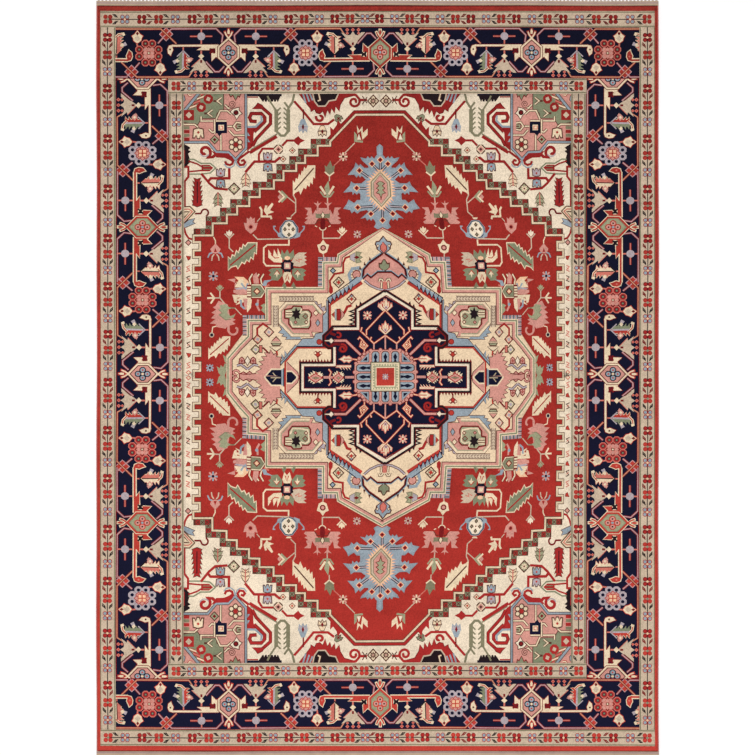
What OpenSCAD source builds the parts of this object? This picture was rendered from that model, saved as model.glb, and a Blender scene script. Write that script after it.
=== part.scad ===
// Hand-knotted area rug: woven foundation, knotted pile in bands, flat-woven
// ends, overcast side cords and knotted warp fringes.
// The origin is on the floor under the middle of the rug. X runs across it,
// Y along it and Z up.

/* [Whole rug] */
// Width over the side cords
rug_w = 2740; // [2400:10:3000]
// Length of the pile, from one flat-woven end to the other
pile_l = 3630; // [3300:10:4000]

/* [Heights] */
// Thickness of the woven foundation
foundation_t = 4; // [2:0.5:6]
// Height of the pile above the foundation
pile_h = 8; // [4:0.5:14]

/* [Ends and sides] */
// Width of the overcast cord along each side
cord_w = 8; // [5:0.5:12]
// Length of the flat-woven band at each end
kilim_l = 24; // [15:1:60]
// Length of each tassel of the fringe
tassel_l = 60; // [30:1:100]
// Spacing of the tassels
tassel_pitch = 18; // [12:1:40]
// Width of one tassel at its knot
tassel_w = 11; // [6:0.5:11]

/* [Border bands at the sides] */
// Plain stripe beside the cord
side_stripe_w = 12; // [5:1:40]
// Outer guard band
side_outer_w = 75; // [40:5:100]
// Main border
side_main_w = 262.5; // [200:2.5:300]
// Inner guard band
side_inner_w = 70; // [40:5:100]

/* [Border bands at the ends] */
// Plain stripe beside the flat-woven end
end_stripe_w = 25; // [5:1:50]
// Outer guard band
end_outer_w = 80; // [40:5:100]
// Main border
end_main_w = 250; // [200:2.5:300]
// Inner guard band
end_inner_w = 75; // [40:5:100]

/* [Field] */
// Half the width of the flat tip of the red field
tip_half_w = 115; // [60:5:160]
// Gap between the tip and the inner guard band
tip_gap = 95; // [60:5:150]
// Height of the slope on each side of the tip
tip_slope = 155; // [100:5:200]
// Number of steps down each corner of the red field
steps = 11; // [6:1:16]
// Lowest step, measured from the middle of the rug
step_foot = 670; // [600:10:760]
// Width left beside the lowest step
step_side = 50; // [30:5:80]

/* [Medallion] */
// Half the width of the medallion, over its side points
medallion_half_w = 745; // [700:5:780]
// Half the length of the medallion, over its end points
medallion_half_l = 725; // [650:5:740]
// Half the width of the dark stepped heart
heart_half_w = 400; // [320:10:430]
// Number of steps in each quarter of the medallion
medallion_steps = 6; // [4:1:9]
// Half the width of a pendant
pendant_half_w = 175; // [120:5:200]
// Length of a pendant
pendant_l = 405; // [300:5:440]

/* [Hidden] */

red = [0.62, 0.15, 0.14];
ivory = [0.88, 0.80, 0.66];
beige = [0.76, 0.69, 0.56];
navy = [0.07, 0.08, 0.15];
blue = [0.50, 0.59, 0.69];
tan_wool = [0.85, 0.74, 0.57];
cotton = [0.86, 0.82, 0.76];

// Half width of what lies inside each band, from the outside in
side_lines = [
    rug_w / 2 - cord_w,
    rug_w / 2 - cord_w - side_stripe_w,
    rug_w / 2 - cord_w - side_stripe_w - side_outer_w,
    rug_w / 2 - cord_w - side_stripe_w - side_outer_w - side_main_w,
    rug_w / 2 - cord_w - side_stripe_w - side_outer_w - side_main_w - side_inner_w
];
end_lines = [
    pile_l / 2,
    pile_l / 2 - end_stripe_w,
    pile_l / 2 - end_stripe_w - end_outer_w,
    pile_l / 2 - end_stripe_w - end_outer_w - end_main_w,
    pile_l / 2 - end_stripe_w - end_outer_w - end_main_w - end_inner_w
];
field_w = side_lines[4];
field_l = end_lines[4];

tassel_count = floor(rug_w / tassel_pitch);
cord_h = foundation_t + pile_h / 2;

// Corner steps of the red field, from the foot of the tip's slope to the side
tip_foot = [tip_half_w * 2, field_l - tip_gap - tip_slope];
step_end = [field_w - step_side, step_foot];
step_w = (step_end[0] - tip_foot[0]) / steps;
step_h = (tip_foot[1] - step_end[1]) / (steps - 1);

// Steps between the red field and its ivory corner, in the upper right quarter
function corner_steps() = [
    for (i = [0 : steps - 1], half = [0, 1])
        [tip_foot[0] + (i + half) * step_w, tip_foot[1] - i * step_h]
];

// Outline of one quarter of a stepped diamond, from its end to its side
function diamond_steps(half_w, half_l, count) = [
    for (i = [0 : count - 1], half = [0, 1])
        [(i + half) * half_w / count, half_l - i * half_l / count]
];

// A quarter outline mirrored into all four
function mirror_points(points, sx, sy) = [for (p = points) [p[0] * sx, p[1] * sy]];
function reversed(points) = [for (i = [len(points) - 1 : -1 : 0]) points[i]];
function four_fold(points) = concat(
    points,
    reversed(mirror_points(points, 1, -1)),
    mirror_points(points, -1, -1),
    reversed(mirror_points(points, -1, 1))
);

// Flat piece of pile standing on the foundation
module pile() {
    translate([0, 0, foundation_t])
        linear_extrude(pile_h)
            children();
}

// Band along one side, between two of the border lines
module side_band(line, side) {
    width = side_lines[line] - side_lines[line + 1];
    length = 2 * end_lines[line + 1];
    pile()
        translate([side * (side_lines[line + 1] + width / 2), 0])
            square([width, length], center = true);
}

// Band along one end, running over the corners
module end_band(line, side) {
    width = end_lines[line] - end_lines[line + 1];
    pile()
        translate([0, side * (end_lines[line + 1] + width / 2)])
            square([2 * side_lines[line], width], center = true);
}

module foundation() {
    color(cotton)
        translate([-side_lines[0], -pile_l / 2, 0])
            cube([2 * side_lines[0], pile_l, foundation_t]);
}

// Side cord: flat where it is sewn to the rug, round outside
module selvedge(side) {
    color(red)
        translate([side * side_lines[0], 0, 0])
            mirror([side > 0 ? 0 : 1, 0, 0])
                rotate([90, 0, 0])
                    linear_extrude(pile_l, center = true)
                        union() {
                            square([cord_w / 2, cord_h]);
                            translate([cord_w / 2, cord_h / 2])
                                scale([cord_w / cord_h, 1])
                                    circle(d = cord_h, $fn = 48);
                        }
}

// Flat-woven end, as wide as the rug with its side cords
module kilim_end(side) {
    color(beige)
        translate([0, side * (pile_l + kilim_l) / 2, foundation_t / 2])
            cube([rug_w, kilim_l, foundation_t], center = true);
}

// One tassel: a knot at the woven end and warp ends that spread a little
module tassel() {
    linear_extrude(foundation_t)
        polygon([
            [-tassel_w / 2, 0],
            [tassel_w / 2, 0],
            [tassel_w / 3, tassel_w * 1.4],
            [tassel_w / 2, tassel_l],
            [-tassel_w / 2, tassel_l],
            [-tassel_w / 3, tassel_w * 1.4]
        ]);
}

module fringe(side) {
    color(cotton)
        for (i = [0 : tassel_count - 1])
            translate([(i - (tassel_count - 1) / 2) * tassel_pitch, side * (pile_l / 2 + kilim_l), 0])
                mirror([0, side > 0 ? 0 : 1, 0])
                    tassel();
}

module edge_stripe_side(side) {
    color(red) side_band(0, side);
}

module edge_stripe_end(side) {
    color(red) end_band(0, side);
}

module outer_guard_side(side) {
    color(beige) side_band(1, side);
}

module outer_guard_end(side) {
    color(beige) end_band(1, side);
}

module main_border_side(side) {
    color(navy) side_band(2, side);
}

module main_border_end(side) {
    color(navy) end_band(2, side);
}

module inner_guard_side(side) {
    color(beige) side_band(3, side);
}

module inner_guard_end(side) {
    color(beige) end_band(3, side);
}

// Ivory corner above the stepped edge of the red field
module spandrel(side_x, side_y) {
    color(ivory)
        mirror([side_x > 0 ? 0 : 1, 0, 0])
            mirror([0, side_y > 0 ? 0 : 1, 0])
                pile()
                    polygon(concat(
                        [[0, field_l], [0, field_l - tip_gap], [tip_half_w, field_l - tip_gap]],
                        corner_steps(),
                        [[step_end[0], 0], [field_w, 0], [field_w, field_l]]
                    ));
}

module field_outline() {
    polygon(four_fold(concat([[tip_half_w, field_l - tip_gap]], corner_steps())));
}

module medallion_outline() {
    polygon(four_fold(diamond_steps(medallion_half_w, medallion_half_l, medallion_steps)));
}

module heart_outline() {
    polygon(four_fold(diamond_steps(heart_half_w, heart_half_w, medallion_steps / 2)));
}

// Palmette that hangs from each end of the medallion
module pendant_outline(side) {
    foot = medallion_half_l;
    shoulder = foot + pendant_l / 3;
    polygon([
        [-pendant_half_w / 3, side * foot],
        [-pendant_half_w, side * shoulder],
        [-pendant_half_w, side * (foot + pendant_l * 2 / 3)],
        [0, side * (foot + pendant_l)],
        [pendant_half_w, side * (foot + pendant_l * 2 / 3)],
        [pendant_half_w, side * shoulder],
        [pendant_half_w / 3, side * foot]
    ]);
}

module field() {
    color(red)
        pile()
            difference() {
                field_outline();
                medallion_outline();
                pendant_outline(1);
                pendant_outline(-1);
            }
}

module pendant(side) {
    color(blue) pile() pendant_outline(side);
}

module medallion() {
    color(tan_wool)
        pile()
            difference() {
                medallion_outline();
                heart_outline();
            }
}

module medallion_heart() {
    color(navy) pile() heart_outline();
}

foundation();
selvedge(-1);  // selvedge_left
selvedge(1);  // selvedge_right
kilim_end(1);  // kilim_end_top
kilim_end(-1);  // kilim_end_bottom
fringe(1);  // fringe_top
fringe(-1);  // fringe_bottom
edge_stripe_side(-1);  // edge_stripe_left
edge_stripe_side(1);  // edge_stripe_right
edge_stripe_end(1);  // edge_stripe_top
edge_stripe_end(-1);  // edge_stripe_bottom
outer_guard_side(-1);  // outer_guard_left
outer_guard_side(1);  // outer_guard_right
outer_guard_end(1);  // outer_guard_top
outer_guard_end(-1);  // outer_guard_bottom
main_border_side(-1);  // main_border_left
main_border_side(1);  // main_border_right
main_border_end(1);  // main_border_top
main_border_end(-1);  // main_border_bottom
inner_guard_side(-1);  // inner_guard_left
inner_guard_side(1);  // inner_guard_right
inner_guard_end(1);  // inner_guard_top
inner_guard_end(-1);  // inner_guard_bottom
spandrel(-1, 1);  // spandrel_top_left
spandrel(1, 1);  // spandrel_top_right
spandrel(-1, -1);  // spandrel_bottom_left
spandrel(1, -1);  // spandrel_bottom_right
field();
pendant(1);  // pendant_top
pendant(-1);  // pendant_bottom
medallion();
medallion_heart();
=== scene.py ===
"""Hand-knotted area rug, drawn from its weaver's cartoon and built pile band by pile band."""

from __future__ import annotations

import logging
import math
import random
from dataclasses import dataclass, field
from enum import Enum
from typing import Callable, Iterable, Sequence

import bmesh
import bpy
import numpy as np
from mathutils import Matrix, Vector
from mathutils.geometry import delaunay_2d_cdt


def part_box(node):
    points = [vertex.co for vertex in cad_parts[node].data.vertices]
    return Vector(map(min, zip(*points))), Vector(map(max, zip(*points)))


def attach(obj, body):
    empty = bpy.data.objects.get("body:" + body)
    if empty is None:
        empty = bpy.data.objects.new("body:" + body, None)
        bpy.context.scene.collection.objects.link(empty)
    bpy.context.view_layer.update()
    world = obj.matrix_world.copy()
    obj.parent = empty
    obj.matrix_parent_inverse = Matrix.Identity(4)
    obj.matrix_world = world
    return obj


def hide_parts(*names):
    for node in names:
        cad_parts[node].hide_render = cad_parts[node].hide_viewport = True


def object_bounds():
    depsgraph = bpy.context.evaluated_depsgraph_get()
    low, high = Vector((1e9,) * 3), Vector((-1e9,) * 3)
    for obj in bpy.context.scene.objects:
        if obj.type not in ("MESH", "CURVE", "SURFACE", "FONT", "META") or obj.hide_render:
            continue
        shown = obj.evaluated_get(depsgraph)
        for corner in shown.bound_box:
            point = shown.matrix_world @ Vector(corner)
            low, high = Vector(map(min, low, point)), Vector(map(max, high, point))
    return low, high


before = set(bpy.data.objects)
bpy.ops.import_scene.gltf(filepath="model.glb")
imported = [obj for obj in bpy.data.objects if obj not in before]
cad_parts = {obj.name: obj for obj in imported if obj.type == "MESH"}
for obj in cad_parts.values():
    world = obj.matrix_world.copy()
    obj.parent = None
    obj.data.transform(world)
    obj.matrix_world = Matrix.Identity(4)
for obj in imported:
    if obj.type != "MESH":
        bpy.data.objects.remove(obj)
cad_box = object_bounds()

log = logging.getLogger("rug")

Point = tuple[float, float]
Outline = list[Point]
Corner = tuple[float, float, float]
Face = tuple[int, ...]

SQUARE = 0.005  # metres to one square of the cartoon


class Yarn(Enum):
    """Dyed yarns of the rug, by colour in daylight."""

    RED = (158, 45, 38)
    SCARLET = (176, 58, 48)
    CRIMSON = (156, 40, 38)
    MAROON = (112, 24, 26)
    BROWN = (88, 50, 40)
    BLACK = (34, 22, 26)
    NAVY = (18, 18, 40)
    IVORY = (231, 213, 188)
    CREAM = (228, 205, 172)
    TAN = (229, 202, 168)
    BEIGE = (198, 176, 152)
    SAND = (178, 160, 130)
    OLIVE = (128, 122, 96)
    GREEN = (128, 131, 104)
    SAGE = (154, 153, 122)
    BLUE = (146, 157, 165)
    LAVENDER = (174, 160, 164)
    MAUVE = (186, 144, 144)
    PINK = (204, 143, 130)
    ROSE = (200, 112, 98)
    SALMON = (198, 132, 104)
    PEACH = (234, 188, 150)


(
    RED, SCARLET, CRIMSON, MAROON, BROWN, BLACK, NAVY, IVORY, CREAM, TAN, BEIGE, SAND, OLIVE,
    GREEN, SAGE, BLUE, LAVENDER, MAUVE, PINK, ROSE, SALMON, PEACH,
) = Yarn


def arc(x: float, y: float, radius: float, start: float, end: float, steps: int = 8) -> Outline:
    """Points along an arc.

    Args:
        x: Centre, in squares.
        y: Centre, in squares.
        radius: Radius, in squares.
        start: First angle, in degrees.
        end: Last angle, in degrees.
        steps: Number of chords.

    Returns:
        The points, from start to end.
    """
    angles = [math.radians(start + (end - start) * k / steps) for k in range(steps + 1)]
    return [(x + radius * math.cos(a), y + radius * math.sin(a)) for a in angles]


def coil(
    x: float, y: float, inner: float, outer: float, start: float, end: float, steps: int = 12,
) -> Outline:
    """Points along a flat spiral.

    Args:
        x: Centre, in squares.
        y: Centre, in squares.
        inner: Radius at the first angle.
        outer: Radius at the last angle.
        start: First angle, in degrees.
        end: Last angle, in degrees.
        steps: Number of chords.

    Returns:
        The points, from start to end.
    """
    points = []
    for k in range(steps + 1):
        share = k / steps
        angle = math.radians(start + (end - start) * share)
        radius = inner + (outer - inner) * share
        points.append((x + radius * math.cos(angle), y + radius * math.sin(angle)))
    return points


def rect(x0: float, y0: float, x1: float, y1: float) -> Outline:
    """Return the corners of an upright rectangle."""
    return [(x0, y0), (x1, y0), (x1, y1), (x0, y1)]


def sided(side: int, points: Sequence[Point]) -> Outline:
    """Return an outline on the right, side 1, or its mirror image on the left, side -1."""
    return [(side * x, y) for x, y in points]


def diamond(x: float, y: float, rx: float, ry: float | None = None) -> Outline:
    """Return the corners of a diamond about a point."""
    ry = rx if ry is None else ry
    return [(x + rx, y), (x, y + ry), (x - rx, y), (x, y - ry)]


def mitres(points: Outline, closed: bool) -> list[Point]:
    """Find the way to the left of a line at each of its points.

    Args:
        points: The line's points.
        closed: Whether the last point joins the first.

    Returns:
        For each point, the move that leads one square to the left of the line.
    """
    count = len(points)
    moves: list[Point] = []
    for k, (x, y) in enumerate(points):
        before = points[k - 1] if closed or k else None
        after = points[(k + 1) % count] if closed or k < count - 1 else None
        normals = []
        for start, end in ((before, (x, y)), ((x, y), after)):
            if start is None or end is None:
                continue
            dx, dy = end[0] - start[0], end[1] - start[1]
            length = math.hypot(dx, dy) or 1.0
            normals.append((-dy / length, dx / length))
        nx = sum(n[0] for n in normals) / len(normals)
        ny = sum(n[1] for n in normals) / len(normals)
        mitre = 1 / max(nx * nx + ny * ny, 0.35)
        moves.append((nx * mitre, ny * mitre))
    return moves


def beside(points: Sequence[Point], distance: float, closed: bool = False) -> Outline:
    """Return a line that runs to the left of another at a distance, or to its right if that is negative."""
    line = list(points)
    return [(x + nx * distance, y + ny * distance) for (x, y), (nx, ny) in zip(line, mitres(line, closed))]


def strips(left: Outline, right: Outline, closed: bool) -> list[Outline]:
    """Cut the band between two lines of the same number of points into four-sided pieces."""
    count = len(left)
    last = count if closed else count - 1
    return [[left[k], right[k], right[(k + 1) % count], left[(k + 1) % count]] for k in range(last)]


def stations(points: Sequence[Point], pitch: float) -> list[Corner]:
    """Walk along a line in equal steps.

    Args:
        points: The line's points.
        pitch: Length of a step, in squares.

    Returns:
        The place and the heading, in degrees, of the middle of each step.
    """
    spots = []
    ahead = pitch / 2
    for (ax, ay), (bx, by) in zip(points, points[1:]):
        length = math.hypot(bx - ax, by - ay)
        heading = math.degrees(math.atan2(by - ay, bx - ax))
        while ahead < length:
            share = ahead / length
            spots.append((ax + (bx - ax) * share, ay + (by - ay) * share, heading))
            ahead += pitch
        ahead -= length
    return spots


class Cartoon:
    """Drawing for the weaver: yarn shapes laid one over another, in squares."""

    def __init__(self) -> None:
        """Start an empty drawing."""
        self.shapes: list[tuple[Yarn, Outline]] = []

    def fill(self, yarn: Yarn, points: Sequence[Point]) -> None:
        """Lay one filled outline."""
        self.shapes.append((yarn, list(points)))

    def line(self, yarn: Yarn, width: float, points: Sequence[Point], closed: bool = False) -> None:
        """Lay a line of some width."""
        sides = [beside(points, width / 2, closed), beside(points, -width / 2, closed)]
        self.shapes += [(yarn, piece) for piece in strips(*sides, closed)]

    def band(self, yarn: Yarn, outline: Outline, near: float, far: float) -> None:
        """Lay a band inside a closed outline, between two distances from it."""
        sides = [beside(outline, near, True), beside(outline, far, True)]
        self.shapes += [(yarn, piece) for piece in strips(*sides, True)]

    def edged(
        self, yarn: Yarn, edge: Yarn, width: float, points: Sequence[Point], closed: bool = False,
    ) -> None:
        """Lay a line with a thin edge of another yarn on both sides."""
        self.line(edge, width + 1.3, points, closed)
        self.line(yarn, width, points, closed)

    def outlined(self, yarn: Yarn, edge: Yarn, width: float, points: Sequence[Point]) -> None:
        """Lay a filled outline with a line round it."""
        self.fill(yarn, points)
        self.line(edge, width, points, closed=True)

    def dot(self, yarn: Yarn, x: float, y: float, radius: float, sides: int = 8) -> None:
        """Lay a round spot."""
        self.fill(yarn, arc(x, y, radius, 22.5, 382.5, sides)[:-1])

    def ring(self, yarn: Yarn, width: float, x: float, y: float, radius: float, sides: int = 8) -> None:
        """Lay a round ring."""
        self.line(yarn, width, arc(x, y, radius, 22.5, 382.5, sides)[:-1], closed=True)

    def put(
        self, motif: "Cartoon", x: float, y: float, turn: float = 0.0, flip: bool = False,
        stretch: Point = (1.0, 1.0),
    ) -> None:
        """Lay a whole motif.

        Args:
            motif: The motif, drawn about its own centre.
            x: Where its centre goes.
            y: Where its centre goes.
            turn: Turn against the clock, in degrees.
            flip: Whether it is mirrored left to right before it is turned.
            stretch: Its scale across and along, before it is turned.
        """
        cos, sin = math.cos(math.radians(turn)), math.sin(math.radians(turn))
        sx = -stretch[0] if flip else stretch[0]
        sy = stretch[1]
        for yarn, points in motif.shapes:
            moved = [(x + sx * a * cos - sy * b * sin, y + sx * a * sin + sy * b * cos) for a, b in points]
            self.shapes.append((yarn, moved))

    def moved(self, change: Callable[[Point], Point]) -> "Cartoon":
        """Return a copy with every point moved."""
        copy = Cartoon()
        copy.shapes = [(yarn, [change(p) for p in points]) for yarn, points in self.shapes]
        return copy


def motif(draw: Callable[..., None]) -> Callable[..., Cartoon]:
    """Turn a drawing function into one that returns its own new motif.

    Args:
        draw: Function that draws on the cartoon given to it first.

    Returns:
        A function that takes the other arguments and returns the cartoon.
    """

    def drawn(*args: object, **kwargs: object) -> Cartoon:
        """Draw the motif on a new cartoon."""
        cartoon = Cartoon()
        draw(cartoon, *args, **kwargs)
        return cartoon

    return drawn


# ---------------------------------------------------------------- drift of the drawing


def axis_at(v: float) -> float:
    """Return how far right of the middle the design's own long axis runs, at a height."""
    share = min(max((215 - abs(v)) / 145, 0.0), 1.0)
    return 2.2 + 5.1 * share * share * (3 - 2 * share)


def to_right(p: Point) -> Point:
    """Mirror a point of the left half into the right half, as the weaver drew it."""
    u, v = p
    fade = 1 - min(max((abs(u) - 90) / 98.5, 0.0), 1.0)
    return (2 * axis_at(v) * fade - u, v)


def lift_at(u: float) -> float:
    """Return how far above the middle the design's own short axis runs before it fades, across the rug."""
    return 1 + 2.5 * min(max((-u - 110) / 50, 0.0), 1.0)


def middle_at(u: float) -> float:
    """Return the height at which the upper and lower halves of the design meet."""
    return lift_at(u) / (1 + lift_at(u) / 277)


def to_foot(p: Point) -> Point:
    """Mirror a point of the upper half into the lower half, as the weaver drew it."""
    u, v = p
    return (u, 2 * lift_at(u) * (1 - min(abs(v) / 277, 1)) - v)


def across(points: Sequence[Point]) -> Outline:
    """Close a left-hand outline across the long axis."""
    return list(points) + [to_right(p) for p in reversed(points)]


def four(points: Sequence[Point]) -> Outline:
    """Close the upper left quarter of an outline, drawn from its end to its side, into the whole."""
    quarter = list(points[:-1]) + [(points[-1][0], middle_at(points[-1][0]))]
    left = quarter + [to_foot(p) for p in reversed(quarter[:-1])]
    return left + [to_right(p) for p in reversed(left)]


def fourfold(quarter: Cartoon) -> list[tuple[Yarn, Outline]]:
    """Repeat the upper left quarter of a drawing over the other three."""
    left = quarter.shapes + quarter.moved(to_foot).shapes
    both = Cartoon()
    both.shapes = left
    return left + both.moved(to_right).shapes


# ---------------------------------------------------------------- outlines of the fields

SIDE_STRETCH = (0.976, 1.05)  # border motifs are shorter and wider along the sides
KEY_TEETH = 9  # teeth of the key edge in each quarter
KEY_PITCH = 14.65


def key_top(count: int) -> float:
    """Return the upper edge of a tooth of the key edge, counted from the top."""
    return 132.8 - KEY_PITCH * count


def steps_edge() -> Outline:
    """Return the stepped edge of the red field, from its tip to its side, in the upper left quarter."""
    return [
        (-21, 256.3), (-46, 230.5), (-46, 226.5), (-58.3, 226.5), (-58.3, 217), (-70.6, 217), (-70.6, 209.7),
        (-79.3, 209.7), (-79.3, 202), (-91.8, 202), (-91.8, 193), (-101.2, 193), (-101.2, 184.7),
        (-115, 184.7), (-115, 176.5), (-125.2, 176.5), (-125.2, 167.7), (-137, 167.7), (-137, 159.5),
        (-147, 159.5), (-147, 151), (-160.8, 151), (-160.8, 139.3), (-179.3, 139.3),
    ]


def field_edge() -> Outline:
    """Return a quarter of the red field's edge: the steps, then the key edge down the side."""
    edge = steps_edge()
    for k in range(KEY_TEETH):
        top = key_top(k)
        edge += [(-179.3, top), (-173, top), (-173, top - 8.0), (-179.3, top - 8.0)]
    return edge + [(-179.3, 0)]


def medallion_edge() -> Outline:
    """Return a quarter of the medallion's edge, from its upper point to its side."""
    return [
        (4.6, 146), (-39.5, 121), (-39.5, 118), (-58, 118), (-58, 89), (-109.5, 89), (-109.5, 61.5),
        (-131.5, 61.5), (-131.5, 43), (-138, 34.6), (-147.5, 22), (-147.5, 0),
    ]


def heart_edge() -> Outline:
    """Return a quarter of the dark heart's edge, from its upper point to its side."""
    return [
        (6, 83.5), (-20.4, 66.8), (-20.4, 49.4), (-43.6, 49.4), (-47, 45.6), (-52, 41), (-52, 33.4),
        (-48, 30.4), (-43.4, 30.4), (-43.4, 14.2), (-74.5, 14.2), (-74.5, 0),
    ]


def pendant_edge() -> Outline:
    """Return the edge of the palmette that stands on the medallion's upper point."""
    return across([
        (2.4, 228), (-1, 225), (-0.6, 217), (-2.2, 215.6), (-3.2, 213.4), (-6, 216), (-7.2, 213.6),
        (-9.6, 216), (-11.2, 213.6), (-17, 215), (-15, 211.5), (-9, 206.2), (-9, 204.6), (-13, 204.6),
        (-17, 208.6), (-18.2, 206.4), (-21.6, 210), (-22.6, 205.4), (-29.4, 197.6), (-23, 198), (-20.5, 195),
        (-19, 197.5), (-17, 195), (-15.5, 197), (-11.5, 193), (-16, 189.6), (-23, 189.4), (-26, 191.6),
        (-27.2, 187.6), (-33.8, 180.6), (-25, 181.5), (-24.5, 178.2), (-22.5, 180.5), (-20.5, 178.4),
        (-18.5, 180.5), (-17, 179), (-17, 173.4), (-20.4, 173.4), (-23, 170.4), (-28.6, 174), (-30, 170.2),
        (-33.8, 165), (-27, 163.6), (-25.5, 160.4), (-23, 162.6), (-20, 160), (-17.5, 162.2), (-11, 163.6),
        (-9, 162), (-17.2, 155), (-12, 156), (-10.4, 153), (-8.5, 155), (-6.4, 153), (-5, 155), (-3, 153),
        (-2, 150.4), (-3.8, 146.8), (0, 144.6), (4.6, 146.8),
    ])


# ---------------------------------------------------------------- main border


class Ros(Enum):
    """Kinds of eight-looped rosette in the main border."""

    RED = "red"
    LAVENDER = "lavender"


@dataclass(frozen=True)
class Palette:
    """Yarns of one kind of border palmette, with its arms and leaves."""

    body: Yarn
    edge: Yarn
    rim: Yarn
    ground: Yarn
    lobe: Yarn
    lobe_rim: Yarn
    lobe_dot: Yarn
    heart: Yarn
    leaf_near: Yarn
    leaf_far: Yarn
    midrib: Yarn


CREAM_ARMED = Palette(
    CREAM, MAROON, BROWN, PINK, BLUE, NAVY, SCARLET, TAN,
    SCARLET, GREEN, LAVENDER,
)
RED_ARMED = Palette(
    SCARLET, CREAM, GREEN, SAGE, PINK, SCARLET, BLACK, BLUE,
    CREAM, ROSE, BLACK,
)


@motif
def tulip(c: Cartoon, body: Yarn, edge: Yarn) -> None:
    """Draw a three-petalled bud that opens upwards from its foot."""
    for side in (-1, 1):
        c.line(edge, 2.6, sided(side, [(0, 0.5), (2.6, 3.2), (3.9, 6.8)]))
    c.line(edge, 3.0, [(0, 3.4), (0, 9.2)])
    for side in (-1, 1):
        c.line(body, 1.3, sided(side, [(0, -0.5), (2.4, 2.8), (3.6, 5.8)]))
    c.fill(body, [(-1, 3.6), (1, 3.6), (1.2, 6.4), (0, 9), (-1.2, 6.4)])


@motif
def border_leaf(c: Cartoon, p: Palette) -> None:
    """Draw a serrated leaf with two side buds; the arm's centre lies to its left."""
    c.line(ROSE, 1.3, [(-1, 13), (-1, 9)])
    c.line(p.midrib, 1.1, [(-7, 3.6), (-1, 9.6), (5, 4)])
    for side, yarn in ((-1, p.leaf_near), (1, p.leaf_far)):
        half = [(-0.6, 9), (side * 4 - 0.6, 5)]
        for k in range(4):
            half += [
                (side * 3.4 - 0.6, 3.6 - 3.2 * k), (side * 6.4 - 0.6, 1.6 - 3.2 * k),
                (side * 3.4 - 0.6, 1.4 - 3.2 * k),
            ]
        half += [(-0.6, -10)]
        rim = ROSE if yarn is CREAM else CREAM
        if yarn is not GREEN:
            c.line(rim, 0.9, half[1:-1])
        c.fill(yarn, half)
    c.line(CREAM, 2.4, [(-3, -6.8), (1, -10.4), (5.6, -11.2), (6.4, -9.4)])
    c.line(SCARLET, 0.9, [(-3, -6.8), (1, -10.4), (4.6, -11)])
    c.line(p.midrib, 1.7 if p.midrib is LAVENDER else 0.9, [(-1, 8), (-0.6, -8)])
    c.outlined(CREAM, PINK, 1.2, diamond(-6.6, 0.4, 2.6, 2.2))
    c.fill(PINK, [(-8, 3.4), (-11, 1.6), (-8, 0.2)])
    c.fill(LAVENDER, [(5.4, 1.4), (9.4, -0.2), (7.6, -3.4), (4.6, -1.2)])
    c.fill(CREAM, diamond(4.6, -0.2, 2.2, 1.8))


@motif
def arm(c: Cartoon, p: Palette) -> None:
    """Draw the left arm of a border palmette: bar, hook, claws, disc, fan, leaf and the lines between."""
    # vines that leave the palmette for the edges and the rosette
    c.edged(MAUVE, MAROON, 1.1, [(-6.6, 10), (-5.6, 17), (-12, 23.4), (-55, 23.4)])
    c.edged(SALMON, MAROON, 1.2, [(-38.5, -23.4), (-79, -23.4)])
    c.edged(MAUVE, MAROON, 1.1, [(-4, -13.2), (-9, -18.5), (-13, -18.5), (-22, -8.5)])
    c.line(SALMON, 1.2, [(-30, -10), (-38.5, -23.4)])
    # fan
    c.line(ROSE, 1.6, [(-26.5, 3), (-26.5, -4)])
    fan = [
        (-26.5, -4.5), (-36, -13.6), (-33.4, -14.2), (-38, -19.6), (-32, -16.8), (-29, -17), (-26.5, -20.4),
    ]
    fan += [(-24, -17), (-21.5, -16.6), (-18, -19.6), (-14.6, -19.6)]
    c.fill(BEIGE, fan)
    c.line(ROSE, 0.7, [(-36, -13.6), (-26.5, -5)])
    c.line(BROWN, 0.8, [(-22, -10.6), (-17, -16.4)])
    for x in (-32, -26.5, -21):
        c.outlined(SCARLET, ROSE, 0.8, diamond(x, -22, 1.4))
    for x in (-32, -21):
        c.outlined(SCARLET, ROSE, 0.7, diamond(x, -18.6, 1.1))
    c.fill(CREAM, diamond(-26.5, -3.4, 3, 2.6))
    c.fill(MAROON, rect(-27.5, -9.8, -25.5, -7))
    # disc on its cross
    c.edged(ROSE, MAROON, 1.0, [(-37.5, 16), (-15.8, 16)])
    c.line(ROSE, 1.4, [(-26.5, 23.6), (-26.5, 8)])
    c.dot(LAVENDER, -26.5, 16, 3.9, 10)
    c.put(border_leaf(p), -45, -7.5, flip=True)
    # bar, hooked head and claws
    head = [
        (-54, 8.2), (-58, 7), (-59.4, 3.6), (-58.8, -0.4), (-56, -2.8), (-55.4, -0.6), (-53.8, 2.8),
        (-54.6, 6),
    ]
    claws = [
        (-9.4, 7.8), (-26, 7.8), (-26.4, 5.4), (-31, 2.6), (-18.6, 2.6), (-18.6, 4.2), (-12.8, 4.2),
        (-12.6, 0),
    ]
    claws += [(-16.6, -0.4), (-16.4, -8.4), (-12.2, -4), (-9.6, -5.6)]
    c.line(p.edge, 1.7, claws[1:])
    c.line(p.edge, 1.5, head, closed=True)
    c.line(p.edge, 3.0 if p.edge is MAROON else 3.9, [(-10, 7), (-55, 7)])
    c.line(p.body, 1.8, [(-10, 7), (-55, 7)])
    c.fill(p.body, head)
    c.fill(p.body, claws)
    c.dot(BROWN if p.edge is MAROON else ROSE, -56.8, 3.4, 1.0, 6)
    for end in (-1, 1):
        c.line(MAROON if p.edge is MAROON else BLACK, 1.7, [
            (-18.2, 1.8 + end * 2.4), (-13.4, 1.8 - end * 2.4),
        ])


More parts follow.
